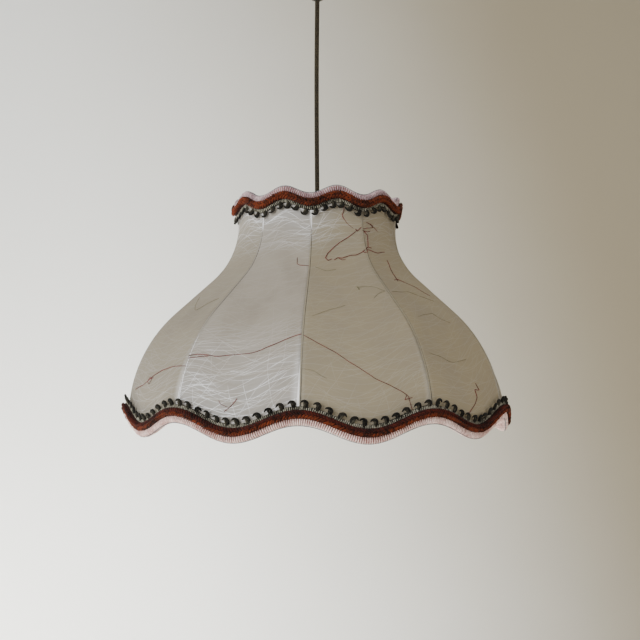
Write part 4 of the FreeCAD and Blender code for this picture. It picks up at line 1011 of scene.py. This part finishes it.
# %% Wear group
wear_inputs = [("Vector", "NodeSocketVector", None), ("Clean", "NodeSocketColor", (1, 1, 1, 1)),
               ("Worn", "NodeSocketColor", (0, 0, 0, 1)), ("Scale", "NodeSocketFloat", 80.0)]
wear_outputs = [("Color", "NodeSocketColor"), ("Roughness", "NodeSocketFloat"), ("Height", "NodeSocketFloat")]
worn_surface, make, given, result = new_group("worn_surface", wear_inputs, wear_outputs)
film = make.noise(given["Vector"], given["Scale"], 4.0, 0.6).outputs["Fac"]
specks = make.noise(given["Vector"], make.math("MULTIPLY", given["Scale"], 14.0), 2.0).outputs["Fac"]
make.tree.links.new(make.mix(make.ramp(film, 0.4, 0.75), given["Clean"], given["Worn"]), result["Color"])
make.tree.links.new(make.ramp(film, 0.3, 0.75, 0.0, 0.22), result["Roughness"])
make.tree.links.new(specks, result["Height"])


def make_hard(name, clean, worn, roughness, metallic=0.0, scale=80.0, bump=0.1, coat=0.0):
    material, recipe = new_material(name)
    place = recipe.add("ShaderNodeTexCoord").outputs["Object"]
    parts = use_group(recipe, worn_surface, {"Vector": place, "Clean": clean, "Worn": worn, "Scale": scale})
    rough = recipe.math("ADD", parts["Roughness"], roughness)
    bumped = recipe.add("ShaderNodeBump", {"Strength": bump, "Distance": 0.0003, "Height": parts["Height"]})
    shader = principled(recipe, base_color=parts["Color"], roughness=rough, metallic=metallic,
                        normal=bumped.outputs[0], coat_weight=coat)
    finish_surface(recipe, shader.outputs[0])
    return material


def make_glass(name, tint):
    material, recipe = new_material(name)
    place = recipe.add("ShaderNodeTexCoord").outputs["Object"]
    smear = recipe.ramp(recipe.noise(place, 40.0, 3.0).outputs["Fac"], 0.4, 0.8, 0.02, 0.12)
    shader = principled(recipe, base_color=tint, roughness=smear, transmission_weight=1.0, ior=1.45)
    finish_surface(recipe, shader.outputs[0])
    return material


hard = {
    "bracket_steel": make_hard("zinc_steel", rgb(196, 197, 196), rgb(150, 150, 146), 0.3, 1.0, 60),
    "screw_steel": make_hard("screw_steel", rgb(205, 205, 203), rgb(150, 148, 144), 0.28, 1.0, 300),
    "cup_brass": make_hard("aged_brass", rgb(176, 146, 92), rgb(104, 82, 48), 0.32, 1.0, 45),
    "cup_brass_screws": make_hard("brass_screws", rgb(190, 158, 98), rgb(120, 96, 58), 0.28, 1.0, 200),
    "contact_brass": make_hard("bright_brass", rgb(222, 190, 118), rgb(170, 136, 76), 0.22, 1.0, 200),
    "grip_plastic": make_hard("grip_plastic", rgb(46, 38, 30), rgb(66, 56, 46), 0.42, 0.0, 120),
    "terminal_plastic": make_hard("terminal_plastic", rgb(226, 222, 206), rgb(200, 192, 170), 0.45, 0.0, 90),
    "holder_bakelite": make_hard("bakelite", rgb(38, 25, 18), rgb(60, 42, 32), 0.2, 0.0, 70, 0.05, 0.4),
    "holder_ceramic": make_hard("ceramic", rgb(228, 225, 214), rgb(206, 200, 184), 0.5, 0.0, 100),
    "core_brown": make_hard("core_brown", rgb(96, 56, 30), rgb(78, 44, 24), 0.35, 0.0, 200),
    "core_blue": make_hard("core_blue", rgb(42, 84, 160), rgb(34, 66, 130), 0.35, 0.0, 200),
    "bulb_solder": make_hard("solder", rgb(176, 176, 174), rgb(120, 120, 118), 0.4, 1.0, 400),
    "bulb_black": make_hard("vitrite", rgb(18, 18, 22), rgb(30, 30, 34), 0.15, 0.0, 200),
    "bulb_cap_metal": make_hard("bulb_cap_metal", rgb(214, 212, 206), rgb(170, 166, 158), 0.25, 1.0, 150),
    "filament_wire": make_hard("filament_wire", rgb(120, 118, 114), rgb(80, 78, 76), 0.35, 1.0, 400),
    "frame_wire": make_hard("coated_wire", rgb(226, 223, 212), rgb(186, 176, 152), 0.4, 0.0, 60, 0.15),
    "bulb_glass": make_glass("bulb_glass", (0.97, 0.98, 0.97, 1)),
    "stem_glass": make_glass("stem_glass", (0.94, 0.96, 0.95, 1)),
    "cord_textile": cord_material,
}
slot_of = {part["node"]: part["material_slot"] for part in frame["record"]["subparts"]}
for node, part in frame["nodes"].items():
    if slot_of[node] in hard:
        part.data.materials.clear()
        part.data.materials.append(hard[slot_of[node]])
print(len(hard), "finishes on the frame's own pieces")

# %% [markdown]
# ## The room
# A pale sweep of floor and wall stands well away, so that the lamp can also be looked at from behind and
# from below.  Its tone turns slowly from light on the left to brown-grey on the right: painted light and
# shade, for a wall lit from a window on the left and shaded on the right.  It isn't part of the lamp.

# %% Sweep
FLOOR_HEIGHT = -1.9
FLOOR_FRONT = -3.5
HALF_WIDTH = 4.5
WALL_PLACE = 1.9
WALL_RISE = 3.2
COVE_RADIUS = 0.6


def make_sweep():
    bm = bmesh.new()
    ends = [bm.verts.new((x, FLOOR_FRONT, FLOOR_HEIGHT)) for x in (-HALF_WIDTH, HALF_WIDTH)]
    edge = [bm.edges.new(ends)]
    cove_start = WALL_PLACE - COVE_RADIUS
    made = bmesh.ops.extrude_edge_only(bm, edges=edge)["geom"]
    front = [g for g in made if isinstance(g, bmesh.types.BMVert)]
    bmesh.ops.translate(bm, verts=front, vec=(0, cove_start - FLOOR_FRONT, 0))
    edge = [g for g in made if isinstance(g, bmesh.types.BMEdge) and all(v in front for v in g.verts)]
    centre = (0, cove_start, FLOOR_HEIGHT + COVE_RADIUS)
    spun = bmesh.ops.spin(bm, geom=edge + front, cent=centre, axis=(1, 0, 0), angle=math.pi / 2, steps=16)
    last = [g for g in spun["geom_last"] if isinstance(g, bmesh.types.BMEdge)]
    made = bmesh.ops.extrude_edge_only(bm, edges=last)["geom"]
    risen = [g for g in made if isinstance(g, bmesh.types.BMVert)]
    bmesh.ops.translate(bm, verts=risen, vec=(0, 0, WALL_RISE))
    return new_piece("sweep", bm)


sweep = make_sweep()
material, recipe = new_material("pale_wall")
place = recipe.add("ShaderNodeTexCoord").outputs["Object"]
axis = recipe.add("ShaderNodeSeparateXYZ", {0: place}).outputs
# Painted light and shade: lighter to the left and lower down, brown-grey towards the upper right.
painted_falloff = recipe.math("ADD", recipe.math("MULTIPLY", axis["X"], 1.4), recipe.math("MULTIPLY", axis["Z"], 0.5))
cloud = recipe.noise(place, 1.2, 3.0).outputs["Fac"]
tone = recipe.ramp(recipe.math("ADD", painted_falloff, recipe.math("MULTIPLY", cloud, 0.3)), -1.1, 1.4)
painted_wall_color = recipe.mix(tone, rgb(242, 242, 237), rgb(148, 138, 116))
finish_surface(recipe, principled(recipe, base_color=painted_wall_color, roughness=0.9).outputs[0])
sweep.data.materials.append(material)
print("sweep of", len(sweep.data.polygons), "faces")


# %% [markdown]
# ## Light
# The lamp is unlit, in daylight from a tall window on the left.  One large cool area light does that, a
# weak warm one on the right stands for the light that the room sends back, a third brightens the lower
# wall, and the world fills the rest.

# %% Lights
def add_area(name, place, target, size, power, color):
    data = bpy.data.lights.new(name, "AREA")
    data.shape = "RECTANGLE"
    data.size, data.size_y = size
    data.energy = power
    data.color = color
    light = link(name, data)
    light.location = place
    light.rotation_euler = (Vector(target) - Vector(place)).to_track_quat("-Z", "Y").to_euler()


shade_middle = (0, 0, -0.42)
add_area("window", (-1.35, -1.75, 0.0), shade_middle, (1.5, 1.8), 60, (0.95, 0.98, 1.0))
add_area("room_glow", (2.0, -0.6, -0.9), shade_middle, (1.6, 1.6), 16, (1.0, 0.93, 0.82))
add_area("wall_wash", (-1.4, 0.6, -1.5), (0.2, 1.9, -1.0), (1.2, 0.6), 62, (1.0, 0.99, 0.96))
world = bpy.data.worlds.new("room_light")
world.use_nodes = True
world.node_tree.nodes["Background"].inputs["Color"].default_value = (0.80, 0.79, 0.77, 1)
world.node_tree.nodes["Background"].inputs["Strength"].default_value = 0.85
bpy.context.scene.world = world
print("lights set")
